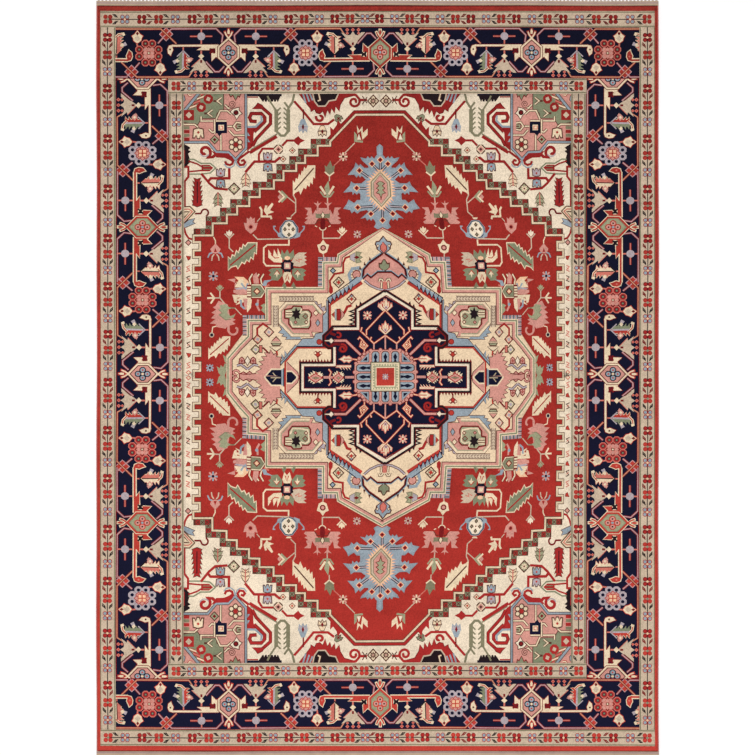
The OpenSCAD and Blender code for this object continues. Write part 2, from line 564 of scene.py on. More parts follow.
@motif
def palmette(c: Cartoon, p: Palette) -> None:
    """Draw a six-sided border palmette with both its arms."""
    for side in (False, True):
        c.put(arm(p), 0, 0, flip=side)
    body = [(0, 14), (-9.6, 5.4), (-9.6, -4.8), (0, -13.4), (9.6, -4.8), (9.6, 5.4)]
    c.line(p.edge, 3.2 if p.edge is CREAM else 2.8, body, closed=True)
    c.outlined(p.ground, p.body, 1.9 if p.edge is CREAM else 1.5, body)
    c.line(p.rim, 0.8, [(x * 0.87, y * 0.87) for x, y in body], closed=True)
    for x, y in ((0, 4.3), (-3.9, 0), (0, -4.3), (3.9, 0)):
        c.dot(p.lobe_rim, x, y, 3.3)
        c.dot(p.lobe, x, y, 2.3)
        c.dot(p.lobe_dot, x, y, 0.9, 6)
    c.dot(p.heart, 0, 0, 1.3, 6)
    c.put(tulip(p.body, SCARLET if p.edge is MAROON else CREAM), 0, 14.6)
    c.put(tulip(p.body, SCARLET if p.edge is MAROON else CREAM), 0, -13.8, 180)


@motif
def crossing(c: Cartoon) -> None:
    """Draw the four small diamonds where two vines cross beside a rosette."""
    c.edged(MAUVE, MAROON, 1.1, [(-9, 5.1), (-5.1, 5.1), (0, 0), (8, -9)])
    for x, y in ((0, 3.3), (-3.3, 0), (3.3, 0), (0, -3.3)):
        c.line(MAUVE, 1.5, diamond(x, y, 2.6), closed=True)
    for x, y in ((0, 3.3), (-3.3, 0), (3.3, 0), (0, -3.3)):
        c.fill(SCARLET, diamond(x, y, 2.6))
    c.edged(SALMON, MAROON, 1.1, [(18, 5.1), (5.1, 5.1), (-10, -9.4)])


@motif
def blossom(c: Cartoon) -> None:
    """Draw a cream spade-shaped blossom with a red tip on a short stem."""
    c.line(ROSE, 1.5, [(0.4, -5), (-0.4, -10.4)])
    shape = [
        (0, 7), (-2.6, 3.4), (-5.4, 1.6), (-4.2, -0.4), (-3.6, -3), (0, -5.6), (3.6, -3), (4.2, -0.4),
        (5.4, 1.6), (2.6, 3.4),
    ]
    c.line(SCARLET, 1.3, shape, closed=True)
    c.fill(CREAM, shape)
    c.fill(BEIGE, diamond(0, -0.8, 3, 3))
    c.fill(MAROON, diamond(0, 4, 1.5, 2))


@motif
def rosette(c: Cartoon, kind: Ros, spread: float) -> None:
    """Draw an eight-looped rosette with its clusters and blossoms."""
    if kind is Ros.RED:
        wide, loop_rim, loop, eye = 9.4, ROSE, CRIMSON, OLIVE
    else:
        wide, loop_rim, loop, eye = 8.2, LAVENDER, LAVENDER, NAVY
    c.put(crossing(), -spread, 18.3)
    c.put(crossing(), spread, -18.3, 180)
    c.put(blossom(), 11.2, 15)
    c.put(blossom(), -11.2, -15, 180)
    c.fill(MAROON, arc(0, 0, 8, 0, 360)[:-1])
    spots = [(x * 3.3, y * 9.2) for x in (-1, 1) for y in (-1, 1)]
    spots += [(x * wide, y * 3.4) for x in (-1, 1) for y in (-1, 1)]
    for x, y in spots:
        c.dot(loop_rim, x, y, 4.0)
    for x, y in spots:
        c.dot(loop, x, y, 3.1)
        c.dot(NAVY, x, y, 1.7)
        c.dot(eye, x, y, 1.1, 6)
    if kind is Ros.RED:
        for x, y in ((-3, 3), (3, 3), (-3, -3), (3, -3)):
            c.dot(PINK, x, y, 2.5)
        for x, y in ((0, 3.2), (-3.2, 0), (0, -3.2), (3.2, 0)):
            c.outlined(PINK, ROSE, 0.5, diamond(x, y, 2.4))
        c.outlined(CREAM, BROWN, 0.5, diamond(0, 0, 1.4))
        return
    for turn in range(0, 360, 45):
        x, y = arc(0, 0, 4.6, turn, turn, 1)[0]
        c.outlined(PINK, CRIMSON, 0.6, diamond(x, y, 2.8))
    for x, y in ((-1.9, 1.9), (1.9, 1.9), (-1.9, -1.9), (1.9, -1.9)):
        c.outlined(PEACH, SCARLET, 0.6, rect(x - 1.7, y - 1.7, x + 1.7, y + 1.7))


# ---------------------------------------------------------------- guard borders


@motif
def guard_flower(c: Cartoon, petal: Yarn, rim: Yarn, heart: Yarn) -> None:
    """Draw the four-petalled flower of a guard border."""
    for x, y in ((-2.3, 2.3), (2.3, 2.3), (-2.3, -2.3), (2.3, -2.3)):
        c.dot(rim, x, y, 2.3)
        c.dot(petal, x, y, 1.7, 6)
    c.fill(heart, diamond(0, 0, 1.3))


@motif
def guard_leaves(c: Cartoon, yarn: Yarn) -> None:
    """Draw a pair of open leaves, one on each side of the vine."""
    for side in (-1, 1):
        c.outlined(CREAM, yarn, 1.3, [
            (-3.4, side * 4.8), (-0.8, side * 4.4), (2.2, side * 1.6), (-0.6, side * 2.6),
        ])


GUARD_KINDS = (
    (SCARLET, CRIMSON, GREEN),
    (BLUE, CRIMSON, PEACH),
    (CRIMSON, MAROON, PEACH),
)


def guard_vine(places: Iterable[tuple[int, float]], pitch: float) -> Cartoon:
    """Draw a guard border's vine with its flowers.

    Args:
        places: The kind of each flower, as a count, and its place along the vine.
        pitch: Distance from one flower to the next.

    Returns:
        The vine, lying along x.
    """
    c = Cartoon()
    spots = list(places)
    c.line(BLACK, 0.9, [(min(x for _, x in spots), 0), (max(x for _, x in spots), 0)])
    for count, x in spots:
        kind = count % 3
        c.put(guard_flower(*GUARD_KINDS[kind]), x, 0)
        if kind == 0:
            c.put(guard_leaves(BLACK), x + pitch / 2, 0)
        if kind == 2:
            c.put(guard_leaves(MAROON), x + pitch / 2, 0)
    return c


def border_ends() -> Cartoon:
    """Draw the main border and the guards along the top of the rug."""
    border = Cartoon()
    border.fill(NAVY, rect(-255, 292, 255, 342))
    for kind, u, flip in (
        (Ros.RED, -222.5, True), (Ros.LAVENDER, -70, False), (Ros.LAVENDER, 76, True), (Ros.RED, 224, False),
    ):
        border.put(rosette(kind, 16.8 if kind is Ros.RED else 14.4), u, 317, flip=flip)
    for u, p in (
        (-298, RED_ARMED), (-145, CREAM_ARMED), (2.5, RED_ARMED), (150, CREAM_ARMED), (302, RED_ARMED),
    ):
        border.put(palmette(p), u, 317, 180 if p is RED_ARMED else 0)
    for v in (341.8, 292.4):
        border.line(MAROON, 0.9, [(-255, v), (255, v)])
    return border


def border_sides() -> Cartoon:
    """Draw the main border down the left side of the rug."""
    border = Cartoon()
    border.fill(NAVY, rect(-255, -292, -202.5, 292))
    for kind, v, flip in (
        (Ros.LAVENDER, 219.5, False), (Ros.RED, 76.5, True), (Ros.RED, -69, False),
        (Ros.LAVENDER, -214, True),
    ):
        border.put(rosette(kind, 17.2), -229, v, -90, flip, SIDE_STRETCH)
    for v, p in (
        (292, CREAM_ARMED), (147.5, RED_ARMED), (4.5, CREAM_ARMED), (-140.5, RED_ARMED), (-290, CREAM_ARMED),
    ):
        border.put(palmette(p), -229, v, 90 if p is RED_ARMED else -90, False, SIDE_STRETCH)
    for u in (-254.4, -203.1):
        border.line(MAROON, 0.9, [(u, -292), (u, 292)])
    return border


def side_flower(count: int) -> float:
    """Return the height of a flower in the side guards, whose spacing the weaver let drift."""
    return float(np.interp(count, (-2, -1, 0, 10, 27, 41), (350, 332, 315, 152, -113, -349.5)))


def border_bands() -> Cartoon:
    """Draw the stripes, guards and main border all round the rug."""
    sides = Cartoon()
    for u, half, reach, count in ((-262.8, 7.8, 350, range(-2, 42)), (-195.7, 7.2, 278, range(3, 37))):
        sides.fill(BEIGE, rect(u - half, -reach, u + half, reach))
        for side in (-1, 1):
            sides.line(OLIVE, 1.1, [(u + side * (half - 0.9), -reach), (u + side * (half - 0.9), reach)])
        sides.put(guard_vine([(k, -side_flower(k)) for k in count], 16.2), u, 0, -90)
        sides.line(BLACK, 0.9, [(u, reach), (u, reach - 15)])
    sides.fill(SCARLET, rect(-275, -360, -270, 357.8))
    ends = Cartoon()
    for v, first, last_count, half in ((349.8, -262.5, 17, 7.8), (284.8, -196.0, 13, 7.4)):
        pitch = (2.5 - first) / last_count
        start = first - 7.5
        ends.fill(BEIGE, rect(start, v - half, 3, v + half))
        for side in (-1, 1):
            ends.line(OLIVE, 1.1, [(start, v + side * (half - 0.9)), (3, v + side * (half - 0.9))])
        drift = 5 if half > 7.5 else 0
        spots = [
            (k, first + k * pitch + drift * np.sin(np.pi * k / last_count)) for k in range(last_count + 1)
        ]
        ends.put(guard_vine(spots, pitch), 0, v)
    stripe = Cartoon()
    stripe.fill(SCARLET, rect(-275, 357.8, 275, 364))
    stripe.line(MAROON, 1.1, [(-275, 362.8), (275, 362.8)])
    left = border_sides()
    top = border_ends()
    whole = Cartoon()
    whole.shapes = left.shapes + left.moved(to_right).shapes + top.shapes + top.moved(to_foot).shapes
    whole.shapes += sides.shapes + sides.moved(to_right).shapes
    whole.shapes += fourfold(ends) + stripe.shapes + stripe.moved(to_foot).shapes
    return whole


# ---------------------------------------------------------------- red field


@motif
def star(c: Cartoon, yarn: Yarn, heart: Yarn, radius: float, second: Yarn | None = None) -> None:
    """Draw a small eight-pointed flower, every other petal in a second yarn where one is given."""
    for turn in range(0, 360, 45):
        reach = radius if turn % 90 else radius * 0.86
        tip = arc(0, 0, reach, turn, turn, 1)[0]
        petal = second if second and turn % 90 else yarn
        c.line(petal, radius * 0.33, [(tip[0] * 0.3, tip[1] * 0.3), tip])
    c.dot(heart, 0, 0, radius * 0.26, 6)


@motif
def bud(c: Cartoon, petal: Yarn, sepal: Yarn, size: float = 1.0) -> None:
    """Draw a bud in its V of sepals, opening upwards from its foot."""
    c.line(sepal, 1.2 * size, [(-4.6 * size, 5 * size), (0, 0.4 * size), (4.6 * size, 5 * size)])
    crown = [(0, 2), (-3, 5), (-2.6, 7.6), (-1.2, 6.6), (0, 9), (1.2, 6.6), (2.6, 7.6), (3, 5)]
    c.fill(petal, [(x * size, y * size) for x, y in crown])


@motif
def serrated_leaf(c: Cartoon, yarn: Yarn, rim: Yarn, length: float) -> None:
    """Draw a long saw-toothed leaf with a dark midrib, lying along x from its foot at the origin."""
    upper = []
    for k in range(5):
        x = length * (0.10 + 0.17 * k)
        upper += [(x, 3.2 + 0.5 * k), (x - length * 0.05, 6.6 + 0.35 * k), (x + length * 0.1, 4.0 + 0.4 * k)]
    half = [(-1.5, 5)] + upper + [(length * 0.93, 7)]
    c.outlined(yarn, rim, 0.9, half + [(length, 0)] + [(x, -y) for x, y in reversed(half)] + [(0, 0)])
    c.line(BLACK, 1.3, [(length * 0.08, 0), (length * 0.86, 0)])


@motif
def slanted_leaf(c: Cartoon, yarn: Yarn, rib: Yarn) -> None:
    """Draw the slanted saw-toothed leaf, from its lower left corner."""
    upper = [
        (0, 13.5), (2.5, 11), (4, 15.4), (6.4, 14), (8, 19.5), (10, 17.4), (11.5, 22), (13.4, 21),
        (14.5, 25.5), (16.6, 23.4), (19, 27),
    ]
    lower = [
        (27.6, 16), (25.4, 17.6), (24.5, 10.5), (22, 13), (20.5, 8.5), (18, 10.4), (16, 6.5), (13.4, 8),
        (9.5, 1.5), (8, 4.6), (5.4, 4), (2.6, 3),
    ]
    c.outlined(yarn, CREAM, 1.0, [(0, 0)] + upper + [(28, 27)] + lower)
    c.line(rib, 1.4, [(2, 5), (26.4, 25)])


@motif
def feather(c: Cartoon, yarn: Yarn) -> None:
    """Draw a small feathered leaf, hanging from the origin."""
    left = [(-2.2, -2.4), (-4.8, -6.8), (-3, -6.2), (-5.2, -11), (-3, -10), (-3.6, -14), (-1, -12)]
    c.outlined(yarn, BROWN, 0.9, [(0, 0)] + left + [(-x, y) for x, y in reversed(left)])
    for v in (-5, -9):
        c.line(BROWN, 0.7, [(-2.8, v - 2), (0, v), (2.8, v - 2)])
    c.line(ROSE, 1.1, [(0, 0), (0, -13)])


@motif
def leaf_spray(c: Cartoon) -> None:
    """Draw the square spray of six leaves round a dark ring."""
    c.fill(CREAM, [
        (-5, 3), (-13, 3.5), (-18.5, 8), (-18.5, 16), (-14, 9), (-13, 16), (-9.5, 9.5), (-9.5, 17.5),
        (-5, 7),
    ])
    c.line(SCARLET, 0.9, [(-16, 11), (-12, 7.5), (-8, 8)])
    c.fill(GREEN, [
        (-3, 5), (-6.5, 9), (-5.5, 16), (-3, 11.5), (0, 16), (2.2, 11.5), (6, 16), (7, 9), (3.5, 5.5),
    ])
    c.fill(PEACH, [(-2.6, 5.6), (-2.6, 8.6), (0, 9.6), (2.6, 8.6), (2.6, 5.6)])
    c.fill(BEIGE, [
        (4, 4), (8, 11), (11, 13), (19, 13), (16, 10.5), (19, 9), (16.5, 7.5), (19, 5.5), (16.5, 4),
        (19, 1.5), (12, -1), (6, 0),
    ])
    c.line(ROSE, 1.0, [(8, 6), (12, 3.5), (11, 6.5), (14.5, 6)])
    for side in (-1, 1):
        c.fill(GREEN, sided(side, [
            (5, -2), (15, -2.5), (18.5, -4.5), (16, -6.5), (18, -9), (15.5, -10.5), (16, -14), (9, -14.5),
            (4.5, -9),
        ]))
        c.line(SCARLET, 0.8, sided(side, [(13, -9), (10, -4.5), (7, -8)]))
        c.fill(CREAM, sided(side, [(10, -5), (7.6, -8.6), (9.4, -8.4), (10, -12), (11, -8.4), (13, -8.6)]))
    c.fill(CREAM, [(-3, -6), (3, -6), (4.6, -10), (2.6, -17), (0, -14), (-2.6, -17), (-4.6, -10)])
    c.line(SCARLET, 1.0, [(-1.6, -13.4), (0, -8), (1.6, -13.4)])
    c.dot(NAVY, 0, 0, 6.2)
    for turn in range(0, 360, 45):
        x, y = arc(0, 0, 5.4, turn + 22.5, turn + 22.5, 1)[0]
        c.dot(BLACK, x, y, 1.4, 6)
    c.fill(PINK, rect(-3.1, -3.1, 3.1, 3.1))
    c.fill(CREAM, rect(-1.9, -1.9, 1.9, 1.9))


@motif
def pink_palmette(c: Cartoon) -> None:
    """Draw the wide pink palmette with two stalks, about the foot of its crown."""
    for side in (-1, 1):
        c.fill(PINK, sided(side, [
            (1.5, 8), (7, 14), (10, 9), (11.5, 16), (18, 16), (14.5, 13), (16, 9), (14, 8), (17.5, 5.5),
            (14.5, 4.4), (18, 1.8), (16.6, 0), (7, 0), (6, 4),
        ]))
        c.line(PINK, 1.6, sided(side, [(5, 15), (5, 18)]))
        c.fill(PINK, sided(side, [(5, 17), (9, 21), (5.6, 20), (5, 23), (4.2, 20), (1.4, 21)]))
        c.fill(OLIVE, sided(side, [(1.5, 5.6), (7, 6), (7, 10.6), (1.5, 10.8)]))
        c.line(BROWN, 0.8, sided(side, [(0, 3.6), (4.6, 4), (7.6, 0)]))
        c.line(CREAM, 0.9, sided(side, [(5.5, -2.6), (7.6, -1.6)]))
    c.fill(PINK, [(-6, 10), (-6, 15.6), (6, 15.6), (6, 10)])
    c.outlined(CREAM, BROWN, 0.7, diamond(0, 8.4, 2, 3.6))
    c.fill(MAROON, [(-1.4, 6), (1.4, 6), (2.4, 2), (2, -5), (-2, -5), (-2.4, 2)])
    c.line(CREAM, 0.9, arc(0, -2.6, 3.4, 190, 350, 6))


@motif
def white_palmette(c: Cartoon) -> None:
    """Draw the white blossom in a blue cup with curled blue arms."""
    cup = [(0, -9.6), (-5, -8), (-9, -4), (-9, 2), (-4, 8.6), (0, 9.4), (4, 8.6), (9, 2), (9, -4), (5, -8)]
    c.fill(BLUE, cup)
    c.line(NAVY, 0.7, [(x * 0.9, y * 0.9) for x, y in cup], closed=True)
    c.fill(IVORY, [(x * 0.72, y * 0.84) for x, y in cup])
    for x, y in ((0, 4.6), (-4, 0.2), (4, 0.2), (0, -5)):
        c.outlined(GREEN, BROWN, 0.8, diamond(x, y, 1.4, 1.7))
    c.fill(MAROON, diamond(0, 0, 0.9))
    for side in (-1, 1):
        c.fill(BLUE, sided(side, [(5, -9), (10.6, -7), (11.4, -4), (8, -2.6)]))
        c.line(BLUE, 1.2, sided(side, [(10, -4.6), (14.5, 0.4), (15, 3), (13, 3)]))
    c.fill(CREAM, [(-2.8, 11.6), (-1.6, 10), (1.6, 10), (2.8, 11.6)])


@motif
def great_blossom(c: Cartoon) -> None:
    """Draw the many-petalled blossom round a green square."""
    for turn in (0, 1, 2):
        petals = ((PEACH, 9.5), (LAVENDER, 0.0), (CREAM, -9.5))
        yarn, shift = petals[turn]
        c.fill(yarn, [
            (-6, shift * 0.5 + 3), (-13, shift + 4.5), (-22, shift * 1.2 + 3), (-17, shift),
            (-21, shift * 1.2 - 2), (-6, shift * 0.5 - 3),
        ])
    c.fill(PINK, [(-9, -2.6), (-18, -3.2), (-23, -1), (-23, 1.4), (-9, 2.6)])
    c.fill(CREAM, [(-12, 4), (-22, 4), (-17, 12), (-13.4, 12)])
    c.fill(PINK, [(-22, 3), (-20, 8), (-28.6, 11.6), (-21, 12.6)])
    c.fill(CREAM, [(-9, -3.4), (-24, -3.2), (-22, -10.6), (-19.8, -11.8), (-19, -6), (-9, -6)])
    c.line(BLUE, 1.9, [(-15.4, 8), (-11, 2), (-9, 8)])
    c.line(BLUE, 1.9, [(-15.8, -8), (-15.4, -14), (-12, -17)])
    c.fill(PINK, [(-13.6, -7), (-9, -7), (-9.4, -17), (-11.6, -18)])
    c.fill(CREAM, [(-9, -6), (-5, -8), (-6, -16), (-9.6, -20.6), (-10, -17)])
    for x in (-6, 0.4, 5):
        c.edged(CREAM, MAROON, 1.4, [(x, 6), (x - 1.4, 12), (x + 1.6, 17)])
    c.fill(PINK, [(-3, 7), (-4, 15), (-0.6, 18.6), (1.6, 12), (2, 7)])
    c.fill(BLUE, [(5, 5.6), (7, 10.6), (15.6, 11.6), (10, 8.6), (9, 5)])
    c.line(ROSE, 1.5, [(7, 4), (12, 6.5)])
    c.line(PINK, 1.9, [(1, -8), (0.4, -15), (2.6, -19)])
    c.dot(BLUE, 0, -12.6, 1.7)
    c.fill(MAROON, rect(-9.8, -6, -4.6, 6.4))
    for y in (-4.4, -1.8, 0.8, 3.4):
        c.fill(CREAM, rect(-9.6, y - 0.2, -4.8, y + 1.5))
    c.outlined(CREAM, MAROON, 0.7, [
        (-5.6, 5.4), (-5.6, 7.2), (4, 7.2), (8.6, 0.4), (4.6, -6.6), (-5.6, -6.6), (-5.6, -5),
    ])
    c.outlined(GREEN, OLIVE, 1.4, [(-4.8, -4.8), (-4.8, 5.2), (3, 5.2), (6.6, 0), (3, -4.8)])
    c.outlined(PEACH, MAROON, 1.0, diamond(0, 0, 3.0))


@motif
def curled_palmette(c: Cartoon) -> None:
    """Draw the pink half palmette with a green crescent and its curl."""
    c.fill(PINK, [
        (6, 14), (-3, 17.6), (-6, 12.6), (-8.6, 11.4), (-5.4, 9), (-10, 6), (-6.6, 4.6), (-10.4, 0.6),
        (-6, 0), (-11.6, -4.4), (-6, -5), (-4.4, -8), (3.6, -9.6), (6, -7), (10, -6), (13.6, -5),
        (10.6, -2.6), (13.6, -1), (8, 2),
    ])
    c.fill(SAGE, [
        (4, 14.6), (-2.6, 13), (-0.6, 10), (-3, 9), (0.6, 5.6), (-2.6, 4), (3, -1), (8, 0.4), (11.6, 1),
        (14, 5.6), (12, 4), (8.6, 2.6), (5.6, 5.6), (6, 9), (9, 10), (6.6, 12),
    ])
    c.line(OLIVE, 0.8, [(-3, 9.4), (0.6, 5.6), (-2.6, 4), (3.6, -1), (9, -0.6)])
    c.line(PINK, 1.9, [(6.6, -6), (6.6, -11)] + arc(11, -11, 4.4, 180, 380, 8) + [(13.4, -8.6)])
    c.line(CREAM, 1.0, [(-5, -7), (-8.8, -8), (-9.6, -14)])
    c.dot(BEIGE, -9.8, -15.6, 2.6)
    c.dot(NAVY, -9.8, -15.6, 1.6)


@motif
def quarter_field(c: Cartoon) -> None:
    """Draw everything that grows in the upper left quarter of the red field."""
    stem = BEIGE
    # from the tip down the slope
    c.fill(SAGE, [(-22.6, 240), (-22.6, 230), (-14.4, 229), (-14, 231), (-20, 231.6), (-20, 237)])
    c.fill(CREAM, [
        (-20, 246), (-19.4, 238), (-16, 240.6), (-14.6, 232), (-9.6, 236.6), (-9.4, 243), (-14, 238.6),
        (-14.6, 245), (-17.6, 241),
    ])
    c.fill(IVORY, [(-20, 232), (-18, 238), (-16, 232)])
    c.line(stem, 1.0, [(-22, 229), (-32, 219)])
    c.put(star(CREAM, BROWN, 4.8, PINK), -33.5, 215.6)
    c.line(ROSE, 1.0, [(-37, 212), (-42.5, 207)])
    c.fill(OLIVE, [
        (-46, 212), (-49.6, 206), (-51.6, 207.4), (-51, 201.4), (-47, 197.6), (-42.6, 201), (-41.6, 207.6),
        (-44, 206),
    ])
    c.line(CREAM, 1.3, [(-51.6, 201), (-47, 197), (-42.4, 200.6)])
    c.line(stem, 1.0, [(-47, 197), (-47, 192)])
    c.fill(SAGE, [(-50, 176.4), (-52, 186), (-48, 192.6), (-46.6, 182), (-47.6, 176.4)])
    for side in (-1, 1):
        c.line(CREAM, 2.1, [(-49.4 + side * 1.5, 179), (-49.4 + side * 6.6, 187)])
        c.line(SAGE, 1.5, [(-49.4, 176.6), (-49.4 + side * 3, 177), (-49.4 + side * 6.6, 182)])
    c.line(stem, 1.1, [(-49, 176), (-49, 170)])
    c.put(pink_palmette(), -53.6, 150.2)
    c.line(stem, 1.2, [(-53.6, 144.6), (-53.6, 136.4), (-37.5, 136.4), (-34.8, 140)])
    c.put(bud(CREAM, CREAM), -34.8, 139)
    c.put(star(BEIGE, MAROON, 4.2, MAUVE), -20, 140)
    # cream leaf and arrow flower
    c.put(slanted_leaf(CREAM, BROWN), -82.6, 178, stretch=(0.77, 1.07))
    for reach, yarn in ((0, SAGE), (-2.6, CREAM)):
        c.line(yarn, 1.7, [(-94 + reach, 182.6), (-88.6 + reach, 177), (-94 + reach, 171.6)])
    c.fill(PINK, diamond(-95.4, 176.6, 2.2, 2.8))
    c.line(stem, 1.1, [(-82.5, 179), (-80, 174), (-80, 162), (-84.6, 157.6)])
    c.line(stem, 1.0, [(-88, 176.6), (-80.6, 170.6)])
    c.put(white_palmette(), -86.5, 145)
    c.line(stem, 1.2, [(-86, 136), (-117, 135.4), (-121.5, 140)])
    # cream bird-like tulip and pink bud
    c.line(CREAM, 1.9, [(-115, 167), (-113.2, 164), (-113.2, 157.6), (-104.4, 157.6), (-103.6, 155)])
    c.fill(CREAM, [
        (-111, 163), (-109.6, 168.6), (-107.4, 168), (-108.6, 165), (-103, 171), (-101.6, 169.6),
        (-105, 163.6), (-101, 162), (-106.6, 160), (-107.6, 158),
    ])
    c.line(stem, 0.9, [(-114.6, 156), (-117.6, 152.6)])
    shell = [
        (-123.7, 157.6), (-125.6, 155), (-127.6, 156.6), (-127.6, 151), (-130.6, 151.6), (-128.8, 145),
        (-123.7, 140.6),
    ]
    c.fill(PINK, shell + [(-118.6, 145), (-116.8, 151.6), (-119.8, 151), (-119.8, 156.6), (-121.8, 155)])
    c.dot(ROSE, -123.7, 147.4, 2.6)
    c.dot(MAROON, -123.7, 147.4, 1.7)
    # pink tulip, blue-legged flower and the green leaf between them
    c.put(bud(IVORY, BEIGE), -144.6, 135.8)
    c.line(stem, 1.1, [(-144.6, 136), (-144.6, 127), (-140.6, 123)])
    c.put(slanted_leaf(GREEN, CRIMSON), -145.6, 105)
    c.line(CREAM, 1.1, [(-160, 138), (-158, 134), (-158, 131)])
    for side in (-1, 1):
        c.line(BLUE, 1.4, [(-158 + side * 1.6, 123), (-158 + side * 5.6, 121.6), (-158 + side * 7.4, 117.6)])
        c.line(BEIGE, 1.2, [(-158 + side * 1.2, 121), (-158 + side * 3, 118.6), (-158 + side * 3.6, 114.6)])
    c.fill(PINK, [
        (-158, 131.4), (-160.6, 128.6), (-163, 126), (-161.6, 122.8), (-158, 121.4), (-154.4, 122.8),
        (-153, 126), (-155.4, 128.6),
    ])
    c.fill(CRIMSON, [(-159.6, 123), (-158, 127), (-156.4, 123)])
    c.put(star(BLUE, NAVY, 5.2, PINK), -160, 99.6)
    # boxed spray
    c.line(CREAM, 1.5, [
        (-86.5, 135), (-86.5, 130), (-107.5, 130), (-111, 127), (-111, 113), (-108.5, 109.6), (-94, 109.6),
    ])
    c.put(leaf_spray(), -88, 109.6)
    # cream oval flower above the medallion's shoulder
    c.fill(CREAM, [
        (-53.2, 135), (-56, 131), (-59, 130), (-57, 123), (-53.2, 121), (-49.4, 123), (-47.4, 130),
        (-50.4, 131),
    ])
    c.dot(MAROON, -53.2, 127, 3.0)
    c.dot(PINK, -53.2, 127, 1.7)
    c.line(stem, 1.1, [(-53, 121), (-52.6, 118)])
    # sprays beside the medallion
    c.put(bud(SAGE, SAGE, 0.8), -153.6, 84.6)
    c.line(stem, 1.2, [(-153.6, 85), (-153.6, 78.4), (-147.6, 71), (-147.6, 66)])
    c.line(stem, 1.2, [(-153.6, 78.4), (-160, 78.4)])
    for tip in ((-163, 83.4), (-166, 78.2), (-162.6, 73)):
        c.line(CREAM, 1.7, [(-159, 78.4), tip])
    c.line(OLIVE, 1.2, [(-147, 69), (-139, 68.4)])
    c.line(stem, 0.9, [(-139, 68.4), (-132.6, 61.6)])
    c.put(great_blossom(), -117.5, 84.6)
    c.put(curled_palmette(), -152, 58)
    c.put(slanted_leaf(CREAM, CRIMSON), -165, 19, stretch=(0.75, 0.8))
    c.put(star(BLUE, NAVY, 4.2), -163.6, 10.4)
    # green brackets that lean on the medallion
    for x, v in ((-148, 20), (-154, 9)):
        c.fill(SAGE, [
            (x + 4, v - 9), (x - 1, v - 4), (x - 3, v + 3), (x, v + 1), (x + 1, v + 4), (x + 3.4, v + 2),
            (x + 5, v + 6), (x + 9, v + 3), (x + 7, v),
        ])
    for x in (-113, -110.6):
        c.fill(SAGE, [(x + 3, 73), (x - 1, 71), (x + 1, 69), (x - 0.6, 66.4), (x + 4, 62)])
    for x in (-91, -82):
        c.fill(OLIVE, [(x - 3, 88), (x, 94), (x + 3, 88)])


@motif
def eye(c: Cartoon) -> None:
    """Draw one of the dark red eyes of the pendant."""
    c.fill(PEACH, diamond(0, 0, 3.5))
    c.fill(CRIMSON, diamond(0, 0, 2.5))
    c.fill(BLACK, diamond(0, 0, 1.0))


@motif
def half_pendant(c: Cartoon) -> None:
    """Draw the left half of the blue pendant."""
    axis = axis_at(185)
    arms = (
        ((-17, 214.6), (-5.5, 208.4), (axis - 2, 202)), ((-29.4, 197.6), (-17.8, 202), (-9, 195.6)),
        ((-33.6, 181), (-20.6, 185), (-11, 184.4)), ((-33.6, 164.6), (-19.6, 166.2), (-5, 167)),
        ((-17, 155), (-6.8, 159.8), (axis - 2, 166)),
    )
    for _, (x, v), foot in arms:
        c.line(BLACK, 2.6, [(x, v), foot])
        c.line(LAVENDER, 1.1, [(x, v), foot])
    for _, (x, v), _ in arms:
        c.put(eye(), x, v)


def pendant_cartoon() -> Cartoon:
    """Draw the blue palmette that stands on the medallion's upper point."""
    c = Cartoon()
    half = half_pendant()
    for v, foot in ((212.3, 202), (153.4, 166)):
        x = axis_at(v) + 0.4
        c.line(BLACK, 2.6, [(x, v), (x, foot)])
        c.line(LAVENDER, 1.1, [(x, v), (x, foot)])
        c.put(eye(), x, v)
    c.shapes += half.shapes + half.moved(to_right).shapes
    halo = [(3, 202), (-7.2, 191.4), (-7.2, 176.8), (3.6, 165.6)]
    for yarn, length in ((PINK, 5.0), (PEACH, 3.8)):
        rays = Cartoon()
        for x, v, heading in stations(halo, 2.7):
            rays.put(thorn(yarn, length), x, v, heading)
        c.shapes += rays.shapes + rays.moved(to_right).shapes
    rings = ((PEACH, 1.4), (OLIVE, 0.4), (BEIGE, -0.7), (OLIVE, -2.2), (PINK, -2.9))
    for yarn, out in rings:
        c.fill(yarn, across([
            (3, 201 + out), (-6.6 - out, 191 + out * 0.4), (-6.6 - out, 177 - out * 0.4), (3.6, 166.6 - out),
        ]))
    tree = [
        (3.2, 191.6), (1, 191), (-1.4, 189), (1, 187), (-1.4, 184.6), (1, 183), (-1.6, 180), (1.6, 179),
        (3.4, 174),
    ]
    c.outlined(SAGE, MAROON, 0.7, across(tree))
    return c


def field_cartoon() -> Cartoon:
    """Draw the whole red field."""
    c = Cartoon()
    c.shapes += fourfold(quarter_field())
    c.edged(CREAM, BROWN, 1.7, four(field_edge()), closed=True)
    return c


# ---------------------------------------------------------------- ivory corners


@motif
def lozenge(c: Cartoon, petal: Yarn, rim: Yarn, heart: Yarn, radius: float = 4.0) -> None:
    """Draw a diamond-shaped flower in a thin rim, with a heart."""
    c.fill(rim, diamond(0, 0, radius))
    c.fill(petal, diamond(0, 0, radius * 0.74))
    c.fill(heart, diamond(0, 0, radius * 0.38))


@motif
def crown(c: Cartoon, petal: Yarn, rim: Yarn) -> None:
    """Draw a three-pointed blossom opening upwards."""
    shape = [
        (-4.4, 4.2), (-2.8, 4.2), (-1.8, 2), (-0.9, 4.8), (0.9, 4.8), (1.8, 2), (2.8, 4.2), (4.4, 4.2),
        (3.8, -2.4), (0, -3.4), (-3.8, -2.4),
    ]
    c.outlined(petal, rim, 0.9, shape)
    c.fill(SCARLET, diamond(0, 0, 1.2))


